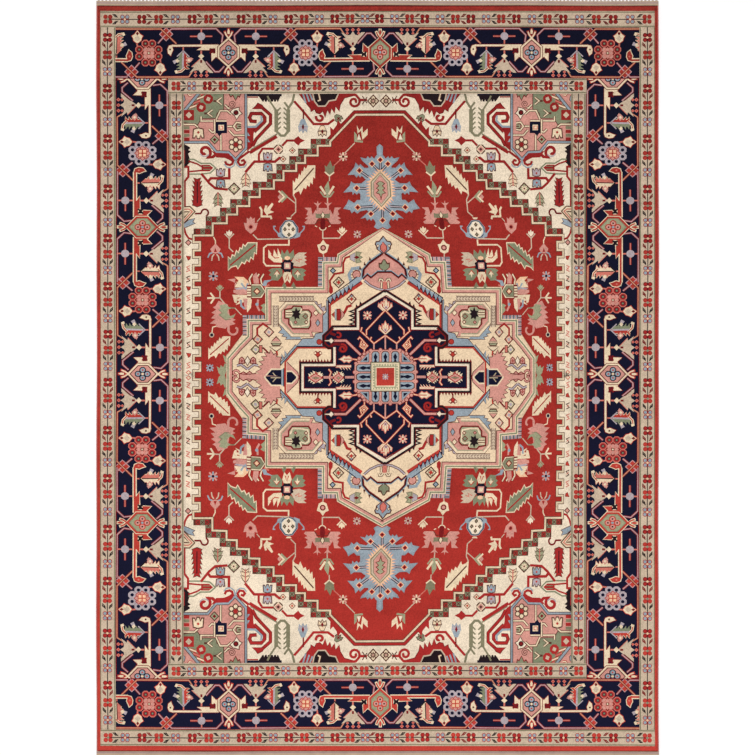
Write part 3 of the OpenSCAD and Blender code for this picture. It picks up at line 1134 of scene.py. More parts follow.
def pink_corner(c: Cartoon) -> None:
    """Draw the pink corner with its green band and its flowers."""
    edge = [(-128, 279), (-128, 224), (-138.5, 213), (-145, 220), (-157, 220.5), (-165, 230), (-190, 230)]
    c.fill(PINK, edge + [(-190, 279)])
    # feathers, bar and green band of the very corner
    band = [(-173, 279), (-149.5, 279), (-149.5, 262), (-156, 258), (-157, 253), (-171, 253), (-175, 247)]
    c.outlined(GREEN, BROWN, 0.8, band + [(-190, 249.5), (-190, 260)])
    for k in range(4):
        x, v = -183 + 3.6 * k, 263.4 + 4.3 * k
        c.edged((CREAM, ROSE)[k % 2], CRIMSON, 1.4, [(x, v), (x + 7, v + 2.6)])
    c.fill(PINK, [(-190, 261), (-187.6, 261), (-171.4, 279), (-190, 279)])
    c.outlined(BLUE, BROWN, 0.7, [(-190, 268), (-187, 271), (-187.6, 275), (-190, 276)])
    c.edged(CREAM, CRIMSON, 1.0, [(-185, 279), (-183, 275.6), (-180, 276)])
    c.edged(BLUE, BROWN, 2.2, [(-188, 260.6), (-171.6, 280)])
    for x, y in ((-164.5, 272), (-171.5, 264)):
        c.dot(CRIMSON, x, y, 4.9)
        c.dot(BEIGE, x, y, 2.4, 4)
    c.fill(CRIMSON, rect(-188.5, 251.5, -178.5, 261.5))
    c.fill(BEIGE, diamond(-183.5, 256.5, 3.2))
    for x, y in ((-155, 270), (-164, 258)):
        c.line(BROWN, 2.0, [(x - 4.6, y), (x - 1, y)])
        c.edged(CREAM, BROWN, 1.1, [(x + 3.4, y + 3.4), (x - 1, y), (x + 3.4, y - 3.4)])
    # cream lines with flowers on them
    for line in (
        [(-171.6, 255), (-171.6, 250.6), (-147, 250.6)],
        [(-158.5, 252), (-158.5, 238)],
        [(-157, 252), (-153, 260.5), (-146, 260.5), (-142, 257)],
        [(-190, 247.4), (-178, 247.4), (-174, 244)],
        [(-144.5, 241.5), (-140, 236.6), (-129, 236.6)],
        [(-152.5, 237), (-152.5, 221)],
        [(-164, 242.6), (-161, 239.6), (-158.6, 240)],
        [(-146, 245.3), (-140, 245.3)],
        [(-132.5, 248.4), (-137, 249.2), (-140, 245.3), (-137, 241.4), (-132.5, 242.2)],
        [(-148.6, 266.4), (-145, 262.8), (-142, 264)],
    ):
        c.edged(CREAM, BROWN, 1.3, line)
    c.fill(NAVY, rect(-157.4, 238.6, -146.4, 249.6))
    c.fill(NAVY, [(-156.4, 239), (-154, 235.6), (-151, 239)])
    c.fill(CREAM, rect(-154.8, 241.4, -149.4, 246.8))
    c.line(ROSE, 0.9, [(-154, 246), (-154, 242.6), (-150.6, 242.6), (-150.6, 245.4), (-152.6, 245.4)])
    c.put(crown(CREAM, BROWN), -174.4, 239.6, 180, stretch=(1.25, 1.3))
    c.edged(SAGE, BROWN, 1.1, [(-132.6, 246.4), (-136, 246.4), (-136, 244), (-132.6, 244)])
    c.outlined(IVORY, BROWN, 0.8, [
        (-143.4, 259.4), (-140.6, 262.4), (-134.4, 264), (-134.4, 261), (-131.4, 257.6), (-134.2, 256),
        (-137, 251.8), (-139, 255.6),
    ])
    c.dot(BLACK, -137.6, 258.6, 2.7)
    c.dot(MAROON, -137.6, 258.6, 1.8)
    c.edged(PINK, BROWN, 1.0, coil(-141.6, 267, 1.2, 3.4, 200, -160, 10))
    c.outlined(GREEN, MAROON, 1.0, [
        (-146, 279), (-142.6, 274), (-140.6, 275.6), (-138, 270.4), (-135.6, 275), (-134, 273.6),
        (-132.6, 279),
    ])
    for turn in range(30, 390, 60):
        x, y = arc(-138, 227.5, 4.7, turn, turn, 1)[0]
        c.dot(BROWN, x, y, 3.0)
        c.dot(CREAM, x, y, 2.0, 6)
    c.dot(CRIMSON, -138, 227.5, 2.2)
    c.put(lozenge(SAGE, BROWN, MAROON, 4.8), -158.6, 232.4)
    for k in range(4):
        c.fill((CRIMSON, OLIVE)[k % 2], rect(-190, 231.5 + 3.7 * k, -183, 234.6 + 3.7 * k))
    c.edged(BLUE, BROWN, 1.8, edge)


def corner_stems(c: Cartoon) -> None:
    """Draw what grows on the ivory between the pink corner and the key edge."""
    vine = CRIMSON
    # hooks under the pink corner, wedge and spiral
    c.fill(vine, [
        (-162, 222), (-157, 219.6), (-145, 219), (-141, 214.6), (-141, 210), (-144, 212.4), (-149, 214.6),
        (-157, 215),
    ])
    c.line(vine, 2.3, [
        (-143, 216), (-140.6, 212), (-141.4, 209), (-144, 207.6), (-147.4, 208.6), (-148.6, 211.4),
    ])
    c.line(BLUE, 1.2, [(-138.6, 212), (-139.4, 207.6), (-143, 205), (-147, 205.6), (-149.6, 208.6)])
    c.line(vine, 2.3, [
        (-125, 221), (-134.6, 214), (-136.2, 210.6), (-134, 207.6), (-130.6, 208), (-129, 210.4),
        (-130.6, 212.4), (-133, 211.4),
    ])
    c.line(BLUE, 1.2, [(-138.4, 212), (-136.8, 207.6), (-133.6, 205.2), (-129.6, 205.8), (-127.4, 208.4)])
    c.line(vine, 3.0, coil(-168.4, 220.6, 1.4, 6.8, -60, -440, 18) + [(-160.4, 215.6), (-157.6, 218)])
    c.line(LAVENDER, 1.2, arc(-168.4, 220.6, 4.6, 200, 330, 6))
    # dark toothed column at the outer edge, the striped bud and its frame
    c.fill(vine, rect(-190, 205, -185, 226))
    c.fill(BLACK, [
        (-190, 229.6), (-184, 226), (-182, 224.6), (-184.4, 222.4), (-181.6, 221.4), (-184.4, 219),
        (-183, 214), (-182.4, 210.6), (-186, 207.4), (-190, 205), (-187.6, 210), (-187.6, 222), (-190, 225),
    ])
    c.line(GREEN, 1.4, [
        (-184, 213.4), (-179, 213.4), (-172, 209.4), (-163, 209.4), (-157.8, 205), (-163, 200), (-172, 199),
        (-184, 199),
    ])
    c.fill(vine, [(-171.6, 208), (-163.8, 208), (-160, 205), (-163.8, 201.6), (-171.6, 201.6)])
    c.line(vine, 1.6, [(-184, 211.6), (-176, 209), (-170, 205.6)])
    c.line(vine, 1.6, [(-184, 201.4), (-171, 202.6)])
    c.line(OLIVE, 0.8, [(-170, 206.4), (-163, 206.4)])
    c.line(OLIVE, 0.8, [(-170, 203.6), (-163, 203.6)])
    c.line(vine, 2.2, [(-184.4, 207), (-184.4, 196.6), (-188, 192), (-188, 168)])
    # vines and crowns
    c.line(vine, 2.4, [(-172, 199.6), (-164, 190), (-158, 185), (-146, 183.8)])
    c.line(vine, 2.6, [(-165, 192), (-162.6, 194.8), (-144.6, 194.8), (-144.6, 204.6)])
    for x, v, turn in ((-153, 199.6, 0), (-153, 190.4, 180), (-107, 215.2, 0), (-107, 206.2, 180)):
        c.put(crown(BLUE if turn else LAVENDER, BROWN), x, v, turn)
    c.put(lozenge(SAGE, BROWN, PINK, 6.4), -140, 184.6)
    c.put(star(CREAM, BROWN, 3.4), -140, 184.6)
    c.put(feather(SAGE), -155.6, 181)
    c.put(serrated_leaf(vine, BROWN, 27), -175.8, 194, -90, stretch=(1, 0.72))
    c.line(MAROON, 1.7, [(-180, 160.6), (-172.6, 160.6)] + arc(-168.4, 161.4, 3.4, 170, -70, 10))
    c.outlined(PINK, BROWN, 0.9, diamond(-184.4, 132.4, 2.7))
    # half flower at the outer edge
    c.fill(CREAM, [(-190, 168), (-180, 168), (-177, 163), (-180, 157), (-190, 149)])
    for reach, yarn in ((0, BROWN), (2.6, ROSE), (5.2, BROWN)):
        c.line(yarn, 1.1, [
            (-190, 167.4 - reach), (-183 - reach * 0.4, 167.6 - reach), (-178 - reach, 162.6),
            (-190, 150 + reach),
        ])
    c.outlined(BLUE, BROWN, 0.7, [
        (-190, 150), (-184, 154.6), (-178, 156), (-180, 152.6), (-177.6, 151), (-184, 148.4), (-190, 146),
    ])
    c.line(vine, 2.0, [(-188.6, 147), (-187, 141), (-184, 136.6), (-180.6, 135.6)])
    # red bar with its stems
    c.line(vine, 2.6, [(-129, 200.6), (-120, 211), (-100, 211), (-95.6, 214.6), (-92, 214)])
    c.put(feather(TAN), -128.6, 200)
    c.line(vine, 2.2, [(-115.6, 211), (-115.6, 218), (-112, 223.6), (-100.5, 223.6)])
    c.dot(BROWN, -96.5, 223, 4.9)
    c.put(lozenge(PINK, CREAM, BROWN, 4.6), -96.5, 223)
    c.line(vine, 2.2, [(-93, 226.4), (-88, 231.6), (-80, 231.6)])
    c.fill(vine, [
        (-81, 233), (-77, 236), (-75, 233.6), (-70.6, 231.6), (-75, 229.4), (-77, 226.6), (-81, 230),
    ])
    for x, v in ((-83, 222), (-92, 213.5)):
        c.put(lozenge(CREAM, MAROON, SCARLET, 3.4), x, v)


def corner_horn(c: Cartoon) -> None:
    """Draw the ram's horn beside the pink corner and the toothed navy edging above it."""
    vine = CRIMSON
    c.fill(vine, [(-127, 244), (-118.6, 244), (-120.6, 238), (-121, 226), (-127, 221)])
    for v in (236, 230):
        c.fill(BLUE, [(-127, v + 4.6), (-124, v), (-127, v)])
    c.edged(vine, MAROON, 2.2, [
        (-117.4, 250), (-123, 250.4), (-124.4, 254), (-122.6, 257.8), (-113, 257.8), (-109.6, 254),
        (-109.6, 250), (-114, 245.6), (-120, 240),
    ])
    c.line(BLUE, 2.0, [(-113, 255.6), (-112.6, 250.6), (-118.6, 245), (-127, 244.8)])
    c.edged(vine, MAROON, 2.0, [(-112.6, 264), (-104, 256.6), (-104, 248), (-118, 233), (-121.6, 226)])
    c.outlined(vine, MAROON, 0.8, [
        (-118.6, 265), (-116.4, 268), (-112, 266), (-109.6, 262.4), (-122, 262.2),
    ])
    c.line(OLIVE, 1.5, [(-97.6, 238), (-123.6, 222.4)])
    c.line(vine, 3.2, [(-98, 235.6), (-124.6, 219.6)])
    c.fill(NAVY, rect(-127, 274.6, -93, 279))
    c.fill(BLACK, [(-116.6, 276), (-111.6, 269.4), (-96.6, 269.4), (-93.6, 276)])
    for k in range(6):
        c.fill(IVORY, [(-111 + 3 * k, 268.4), (-110 + 3 * k, 271.6), (-109 + 3 * k, 268.4)])
    c.line(vine, 1.2, [(-127, 273.8), (-116, 273.8)])
    c.line(OLIVE, 1.8, [(-107, 275), (-104, 269), (-98.6, 261)])
    # green fork with barbs
    for x in (-98.4, -86.8):
        c.line(OLIVE, 3.8, [(x, 262), (x, 240)])
    c.line(OLIVE, 2.4, [(-98.6, 241), (-94, 236.4), (-90.4, 236.4), (-86.4, 241)])
    c.line(OLIVE, 2.0, [(-90.6, 269), (-86.8, 264), (-86.4, 258)])
    c.line(OLIVE, 2.2, [(-86.6, 263), (-82.6, 269), (-80.4, 279)])
    for k in range(5):
        v = 240.6 + 4.6 * k
        for side in (-1, 1):
            c.line(OLIVE, 1.5, [(-92.6 + side * 5, v + 1.2), (-92.6 + side * 1.4, v + 4.6)])


def corner_canopy(c: Cartoon) -> None:
    """Draw the red and navy canopy above the field's tip, and the spiral beside it."""
    vine = CRIMSON
    c.line(vine, 2.4, [(-81, 270), (-73, 261), (-62, 247.6), (-48, 247.6), (-42, 252)])
    c.line(MAROON, 1.4, [(-72, 262), (-72, 251)])
    c.outlined(vine, MAROON, 0.7, [
        (-78, 279), (-65, 262.4), (-64.6, 259.6), (-61, 262), (-59.6, 258.4), (-56, 257.4), (-53, 260),
        (-50.8, 253.6), (-48.6, 261), (-46, 256.6), (-44.6, 262.6), (-41.6, 258), (-40.6, 264.4),
        (-37, 259.6), (-36, 266), (-32, 272.6), (-24, 274.6), (-20, 279),
    ])
    c.line(vine, 2.6, coil(-55.6, 254, 1.0, 4.4, 120, -200, 12))
    for x in (-71, -67.6, -64.4):
        c.line(BLUE, 1.6, [(x - 1.6, 278), (x + 1.4, 268 + 0.4 * (x + 71))])
    blob = [
        (-63, 279), (-62, 273), (-61, 269.6), (-57.6, 265), (-50.6, 265), (-47, 270), (-40.6, 271),
        (-37, 279),
    ]
    c.outlined(BLACK, BEIGE, 1.3, blob)
    c.edged(CREAM, BROWN, 1.2, [(-57, 277), (-55.6, 271), (-58, 270)])
    c.put(calyx(GREEN, BROWN, GREEN), -38, 253, 40, stretch=(0.7, 0.7))
    c.put(calyx(LAVENDER, BLUE, BLUE), -72.4, 245.6, stretch=(0.8, 1.1))
    c.put(calyx(TAN, BROWN, TAN), -53.6, 240.6, stretch=(0.8, 0.9))
    # spiral, crossed stem and the flower under the guard
    c.line(vine, 2.4, [
        (-36, 277), (-30, 276), (-21, 275.6), (-17.6, 271.6),
    ] + coil(-22.6, 269, 5.4, 1.4, 0, -400, 14))
    c.line(vine, 2.4, [(-18.6, 270.6), (-10, 270.6)])
    for side in (-1, 1):
        c.line(BROWN, 1.0, [(-14.6, 270.4 - side * 4), (-10, 270.4 + side * 3)])
    c.outlined(CREAM, BROWN, 1.1, diamond(-4, 269.6, 5.4, 5.8))
    c.put(star(BROWN, PINK, 3.6), -4, 269.6)


@motif
def spandrel(c: Cartoon) -> None:
    """Draw the upper left ivory corner, from the rug's long axis to the middle of its length."""
    corner_horn(c)
    pink_corner(c)
    corner_stems(c)
    corner_canopy(c)
    # red and green cells that follow the steps
    tip = [(4, 256.3), (-21, 256.3), (-46, 230.5)]
    c.line(BROWN, 0.8, beside(tip, -4.0))
    c.line(CRIMSON, 2.4, beside(tip, -2.7))
    c.fill(CRIMSON, [(-35, 247), (-38.6, 251.6), (-39.6, 246.6), (-43, 242), (-46, 245), (-45.6, 232)])
    steps = beside(steps_edge()[2:], -3.9)
    c.line(BROWN, 5.8, steps)
    for k, (x, y, heading) in enumerate(stations(steps, 4.55)):
        yarn = (GREEN, CRIMSON)[k % 2]
        c.put(cross_cell(yarn), x, y, heading)
    # marks on the narrow strip beside the key edge
    for v in (117.5, 88, 54, 23):
        c.outlined(SCARLET, MAROON, 0.5, [
            (-186.6, v + 2), (-182, v + 1.4), (-182.6, v - 1.2), (-184.6, v - 2.4),
        ])
    for k, v in enumerate((107, 97, 78.5, 66, 43.5, 33, 13)):
        c.line((ROSE, BROWN)[k % 2], 1.0, [
            (-182.6, v + 3), (-186, v + 1.6), (-182.8, v - 1.6), (-186.4, v - 3),
        ])
        c.line(ROSE, 0.7, [(-185.8, v - 1), (-183, v + 1)])
    c.outlined(CREAM, ROSE, 0.9, diamond(-184.4, 6, 2.2, 1.9))
    c.edged(CREAM, BROWN, 1.7, [(4, 256.3)] + field_edge())


@motif
def cross_cell(c: Cartoon, yarn: Yarn) -> None:
    """Draw one cell of a stepped band, crossed with a dark X."""
    c.fill(yarn, rect(-2.1, -2.3, 2.1, 2.3))
    for side in (-1, 1):
        c.line(BROWN, 0.75, [(-1.7, side * -1.7), (1.7, side * 1.7)])


@motif
def thorn(c: Cartoon, yarn: Yarn, length: float) -> None:
    """Draw a thorn that stands on the right of the line it grows from."""
    c.fill(yarn, [(-1.6, 0.6), (1.6, 0.6), (0.6, -length)])


# ---------------------------------------------------------------- medallion


def medallion_rim() -> Outline:
    """Return a quarter of the line that the medallion's layered edge follows."""
    return [
        (4.6, 146), (-39.5, 121), (-40.5, 114), (-54, 114), (-54, 88.8), (-109.5, 88.8), (-109.5, 57.8),
        (-127.6, 57.8), (-127.6, 41.4), (-136, 33), (-147.5, 20), (-147.5, 0),
    ]


@motif
def saw_line(c: Cartoon) -> None:
    """Draw the blue and red saw edge that falls from the roof to the corner, and the blue bar below it."""
    top, foot = (-13.5, 98.4), (-48.5, 76.6)
    c.line(SCARLET, 5.6, [(top[0] - 2.4, top[1] - 4.4), (foot[0] + 1.4, foot[1] - 3.4)])
    c.line(NAVY, 0.9, [(top[0] - 3.4, top[1] - 4.4), (foot[0], foot[1] - 3.6)])
    c.fill(BLUE, [top, (-20, 98.4), (-28, 92.4), (-26, 88), (-16, 95)])
    c.line(BLUE, 2.4, [top, foot])
    for x, y, _ in stations([(-25, 91.4), foot], 4.7):
        c.fill(NAVY, [(x - 2.6, y + 0.4), (x + 3.2, y + 1.6), (x + 1.2, y - 5.6)])
        c.fill(BLUE, [(x - 1.8, y + 0.6), (x + 2.6, y + 1.6), (x + 0.9, y - 4.2)])
    c.line(NAVY, 0.9, [(-20, 98.8), (-28, 92.6), (foot[0] - 0.6, foot[1] + 1.4)])
    c.line(SCARLET, 1.9, [(-46.4, 72), (-46.4, 44.6), (-50, 40.4)])
    c.line(NAVY, 1.0, [(-47.9, 76), (-47.9, 45), (-52.4, 41), (-52.4, 33.4), (-49.6, 31)])
    bar = [
        (-50, 76.6), (-48.4, 75.4), (-48.4, 44), (-52.8, 41.4), (-52.8, 33.4), (-49.6, 31.4), (-79.4, 31.4),
        (-73.4, 38.6),
    ]
    bar += [(-62.6, 39.2), (-60.6, 43.6), (-53.6, 45), (-53.6, 61), (-50, 65)]
    c.outlined(BLUE, BROWN, 0.7, bar)
    c.dot(MAROON, -57, 35.5, 3.0)
    c.dot(SCARLET, -57, 35.5, 2.3)
    c.line(NAVY, 1.2, [(-49.4, 31), (-79, 31), (-96, 11.6)])
    c.line(SCARLET, 1.5, [(-50.4, 29.7), (-78.2, 29.7), (-90.2, 16), (-90.2, 0)])
    c.line(BLUE, 1.6, [(-79.2, 32.2), (-96, 13.2)])
    c.line(BROWN, 0.6, [(-79.8, 33.2), (-96.6, 14.2)])
    for x, v in ((-93, 20), (-90, 23.4)):
        c.outlined(BLUE, BROWN, 0.6, [(x - 0.6, v - 3), (x - 1, v + 4), (x + 2, v - 0.6)])


@motif
def corner_octagon(c: Cartoon) -> None:
    """Draw the pink octagon with its green flower, and the grey cells outside it."""
    for first, last in (((-96, 77.4), (-62, 77.4)), ((-99.4, 71), (-99.4, 50))):
        c.line(BROWN, 5.6, [first, last])
        c.line(BEIGE, 4.2, [first, last])
        for x, y, heading in stations([first, last], 2.9):
            c.put(cell_mark(), x, y, heading)
    c.fill(BLUE, [
        (-97, 53), (-93.6, 47.6), (-97, 44.4), (-91.6, 43), (-93.4, 41), (-88.6, 40), (-90, 38), (-74, 38),
        (-76, 41), (-84, 42),
    ])
    c.line(BROWN, 0.7, [
        (-97, 53), (-93.6, 47.6), (-97, 44.4), (-91.6, 43), (-93.4, 41), (-88.6, 40), (-90, 37.8),
        (-74, 37.8),
    ])
    c.fill(LAVENDER, [
        (-62, 75.6), (-59, 74.6), (-58, 71.6), (-54.6, 73), (-55, 69), (-51.4, 70.6), (-50.4, 65.6),
        (-54, 65),
    ])
    c.line(BROWN, 0.7, [
        (-62, 75.6), (-59, 74.6), (-58, 71.6), (-54.6, 73), (-55, 69), (-51.4, 70.6), (-50.6, 66),
    ])
    shape = [
        (-96.6, 67), (-89.6, 74.6), (-62, 74.6), (-53, 65), (-53.6, 45), (-64.6, 45), (-62.4, 40.6),
        (-84, 40.6), (-96.6, 53.6),
    ]
    c.outlined(PINK, BROWN, 0.7, shape)
    light = [
        (-54.4, 63.6), (-62.6, 73.4), (-89, 73.4), (-95.4, 66.6), (-95.4, 54.2), (-83.6, 41.8), (-66, 41.8),
    ]
    c.line(SAGE, 1.0, [(x + 1.6 if x < -80 else x - 0.6, v - 1.7 if v > 60 else v + 1.6) for x, v in light])
    c.line(CREAM, 2.1, light)
    flower = [
        (-90.6, 67), (-90.6, 58.6), (-86.6, 58), (-86.6, 53), (-83, 48.4), (-67.4, 48.4), (-65.4, 51.4),
        (-65.4, 55), (-66.4, 58), (-64.4, 61), (-64.8, 64), (-67.4, 66.6), (-73.6, 66.6), (-74, 70),
        (-82, 70.4), (-84, 68),
    ]
    c.outlined(SAGE, MAROON, 1.4, flower)
    for v in (65.4, 63, 60.6):
        c.line(CREAM, 1.2, [(-89.6, v), (-83, v)])
    for v in (64.2, 61.8):
        c.line(MAROON, 0.6, [(-89.6, v), (-83, v)])
    c.line(CREAM, 1.5, [
        (-74, 68), (-75.6, 63), (-70, 65), (-67, 63), (-67, 57), (-68, 52), (-75, 50.6), (-83, 50.6),
        (-85, 56),
    ])
    c.outlined(GREEN, MAROON, 0.7, diamond(-70.4, 60.4, 2.6))
    c.outlined(CREAM, MAROON, 0.7, diamond(-69.6, 54.8, 1.7))
    c.outlined(PINK, MAROON, 0.6, diamond(-80, 54.6, 1.6))
    c.fill(BLACK, [
        (-79.4, 69.6), (-80.8, 65.6), (-84, 66), (-82, 63), (-84, 60), (-81.4, 60), (-80.4, 56.4), (-79, 59),
        (-76, 57.6), (-76.6, 61), (-74.6, 63), (-76.8, 64), (-75, 67), (-78, 66),
    ])
    c.outlined(CREAM, MAROON, 0.7, diamond(-60.2, 63.6, 2.7, 3))
    c.outlined(BLUE, BROWN, 0.7, diamond(-58.4, 54, 2.2, 3.6))


@motif
def cell_mark(c: Cartoon) -> None:
    """Draw the small dark mark of a grey cell."""
    c.line(BROWN, 0.55, [(-1.1, -1.5), (1.1, 0), (-1.1, 1.5)])
    c.fill(CREAM, diamond(0.9, 0, 0.55))


@motif
def end_palmette(c: Cartoon) -> None:
    """Draw the upper half of the pink palmette with its navy hexagon, at the medallion's end."""
    teeth = [
        (-95, 12), (-95, 18), (-93.6, 20.6), (-98.4, 21), (-99, 25), (-101.4, 23), (-104.4, 28),
        (-105.6, 24.4), (-110.8, 25.2), (-108.4, 21.4), (-113.6, 21.2), (-110.6, 17.6), (-115.8, 16.4),
        (-112.2, 13.4), (-116.8, 11.2), (-113.4, 9.2), (-119, 6.2), (-115.6, 4.6), (-127, 4.2),
    ]
    c.fill(PINK, teeth + [(-127, 0), (-95, 0)])
    c.line(BROWN, 0.8, teeth)
    c.fill(CREAM, [(-111, 1.6), (-104, 9.6), (-91, 9.6), (-91, 0), (-111, 0)])
    c.fill(NAVY, [(-109.2, 1.6), (-103.4, 8.2), (-94, 8.2), (-94, 0), (-109.2, 0)])
    c.line(SAND, 1.0, [(-102.4, 5.4), (-98.8, 1.4)])
    c.line(SAND, 1.0, [(-104.4, 1.4), (-94.6, 1.4)])
    c.line(BLUE, 2.0, [(-93, 9), (-93, 0)])
    c.line(NAVY, 1.0, [(-91.6, 10), (-91.6, 0)])
    c.line(SCARLET, 1.8, [(-90.2, 16), (-90.2, 0)])
    c.fill(PINK, [(-88.8, 17), (-86, 14), (-77.6, 5), (-76.8, 1), (-88.8, 1)])
    c.line(BROWN, 0.7, [(-88.6, 16), (-78, 6), (-76.8, 1)])
    c.fill(CREAM, [(-88.8, 7.6), (-83.6, 7.6), (-78, 1.8), (-78, 0), (-88.8, 0)])
    c.fill(NAVY, [(-88.8, 6.2), (-84, 6.2), (-79.6, 1.8), (-79.6, 0), (-88.8, 0)])


@motif
def calyx(c: Cartoon, petal: Yarn, rim: Yarn, foot: Yarn) -> None:
    """Draw a half-open flower with a pale foot, opening downwards."""
    c.outlined(petal, rim, 1.0, [(-5.4, 0), (-4.6, -5), (-1.8, -3), (0, -6), (1.8, -3), (4.6, -5), (5.4, 0)])
    c.outlined(foot, rim, 0.7, [(-4.8, 1), (-2, 6), (2, 6), (4.8, 1)])
    c.fill(MAROON, diamond(0, -0.6, 1.6, 3))


@motif
def small_flowers(c: Cartoon) -> None:
    """Draw the loose flowers and stems on the medallion's tan ground."""
    # beside the roof
    c.put(calyx(SAGE, OLIVE, LAVENDER), -21, 117.6, 90)
    c.line(CRIMSON, 2.0, [
        (-27, 118.6), (-31.6, 117), (-33.6, 112), (-33.6, 103), (-42, 101.6), (-46.6, 95), (-45.6, 84),
    ])
    c.fill(CRIMSON, [(-46, 92), (-43.6, 88), (-43.4, 84), (-45.6, 81.8), (-47.6, 84), (-47.4, 88)])
    c.put(lozenge(CREAM, BROWN, SCARLET, 6), -38, 93.4)
    c.ring(OLIVE, 0.8, -38, 93.4, 3.2, 4)
    c.outlined(BLUE, NAVY, 0.9, diamond(-43.6, 104.8, 2.6))
    for x, y, heading in stations([(-15.4, 106), (-19, 108.4), (-25, 107.4), (-29, 101), (-27, 94.4)], 2.9):
        c.put(thorn(BROWN, 4.0), x, y, heading, stretch=(1, -1))
        c.put(thorn(BLUE, 3.0), x, y, heading, stretch=(1, -1))
    c.line(BLUE, 2.2, [(-14.6, 104.6), (-19, 107), (-24.6, 106), (-27.8, 101), (-25.8, 94.6), (-20, 97)])
    c.outlined(PINK, MAROON, 0.8, arc(-20.6, 101, 4.0, 0, 360)[:-1])
    # below the saw edge
    c.put(lozenge(CREAM, MAROON, SCARLET, 5.4), -25.4, 77)
    c.outlined(BLUE, MAROON, 0.7, diamond(-25.4, 80.6, 1.7))
    for x, y in ((-25.4, 80), (-28, 77.4), (-22.8, 77.4)):
        c.outlined(BLUE if y > 78 else CREAM, BROWN, 0.5, diamond(x, y, 1.3))
    c.line(CRIMSON, 2.6, [(-25.4, 71), (-29.6, 69.6), (-31.8, 65), (-34, 61.6)])
    c.outlined(CRIMSON, BROWN, 0.8, [
        (-39.8, 67.4), (-36.4, 67.4), (-35.6, 62), (-36.4, 56.6), (-39.8, 56.6),
    ])
    c.outlined(PINK, BROWN, 0.7, [(-35.4, 66.6), (-32.8, 63), (-32.8, 61), (-35.4, 57.6)])
    c.line(BLUE, 1.3, [(-41, 67.4), (-41, 56.6)])
    c.outlined(SCARLET, BROWN, 0.7, [(-42, 65), (-44.8, 62), (-42, 59)])
    # over the arm of the heart
    c.line(MAROON, 1.3, [(-58.4, 21), (-58.4, 17)])
    c.outlined(SCARLET, MAROON, 0.9, [
        (-58.4, 20.6), (-61.6, 23.6), (-60.4, 26.4), (-58.4, 25), (-56.4, 26.4), (-55.2, 23.6),
    ])
    for x in (-61, -55.8):
        c.dot(MAROON, x, 24.6, 1.7, 6)
        c.dot(CREAM, x, 24.6, 1.1, 6)
    # between the octagon and the end palmette
    for x, v, yarn in ((-106, 45, PINK), (-117, 38, ROSE), (-119, 28, SAGE)):
        c.put(lozenge(yarn, BROWN, LAVENDER, 5.4), x, v)
        c.ring(CREAM, 0.7, x, v, 2.6, 4)
    c.outlined(PINK, BROWN, 1.1, [(-99, 40.6), (-103.6, 36), (-94.6, 36)])
    c.outlined(SAGE, BROWN, 1.1, [(-104, 34.4), (-94, 34.4), (-95.6, 31.8), (-102.4, 31.8)])
    c.outlined(CREAM, BROWN, 1.2, [(-105.6, 30.8), (-92.4, 30.8), (-99, 26)])
    c.line(SCARLET, 1.9, [(-98.6, 26.6), (-98, 22)])
    c.line(CRIMSON, 2.0, [(-117.4, 41.6), (-117.4, 48.6), (-111.8, 53.2), (-106.8, 49.8)])
    c.line(MAROON, 1.7, [(-112, 30), (-106, 24)])
    c.outlined(ROSE, BROWN, 0.7, rect(-115.6, 25, -112.6, 32))
    # palmette against the medallion's end
    for side in (-1, 1):
        c.edged(LAVENDER, BROWN, 1.5, [(-127 + side * 10.4, 12.4), (-127 + side * 6.4, 13.4), (-127, 8.8)])
    for x in (-132.6, -121.4):
        c.outlined(PINK, MAROON, 0.9, [
            (x - 2.8, 14.6), (x - 2.2, 19), (x, 20.8), (x + 2.2, 19), (x + 2.8, 14.6),
        ])
        c.outlined(ROSE, MAROON, 0.6, diamond(x, 17, 1.2))
    c.outlined(IVORY, BROWN, 0.9, diamond(-127, 17, 2.8, 4.6))
    c.edged(PINK, MAROON, 1.2, [(-134, 5.6)] + coil(-138.4, 5, 3.4, 1.2, 10, 330, 10))
    c.outlined(PINK, MAROON, 0.9, [
        (-135, 4), (-131, 6.4), (-128, 4.6), (-125, 6.8), (-122, 4.4), (-119, 5), (-119, 0), (-135, 0),
    ])


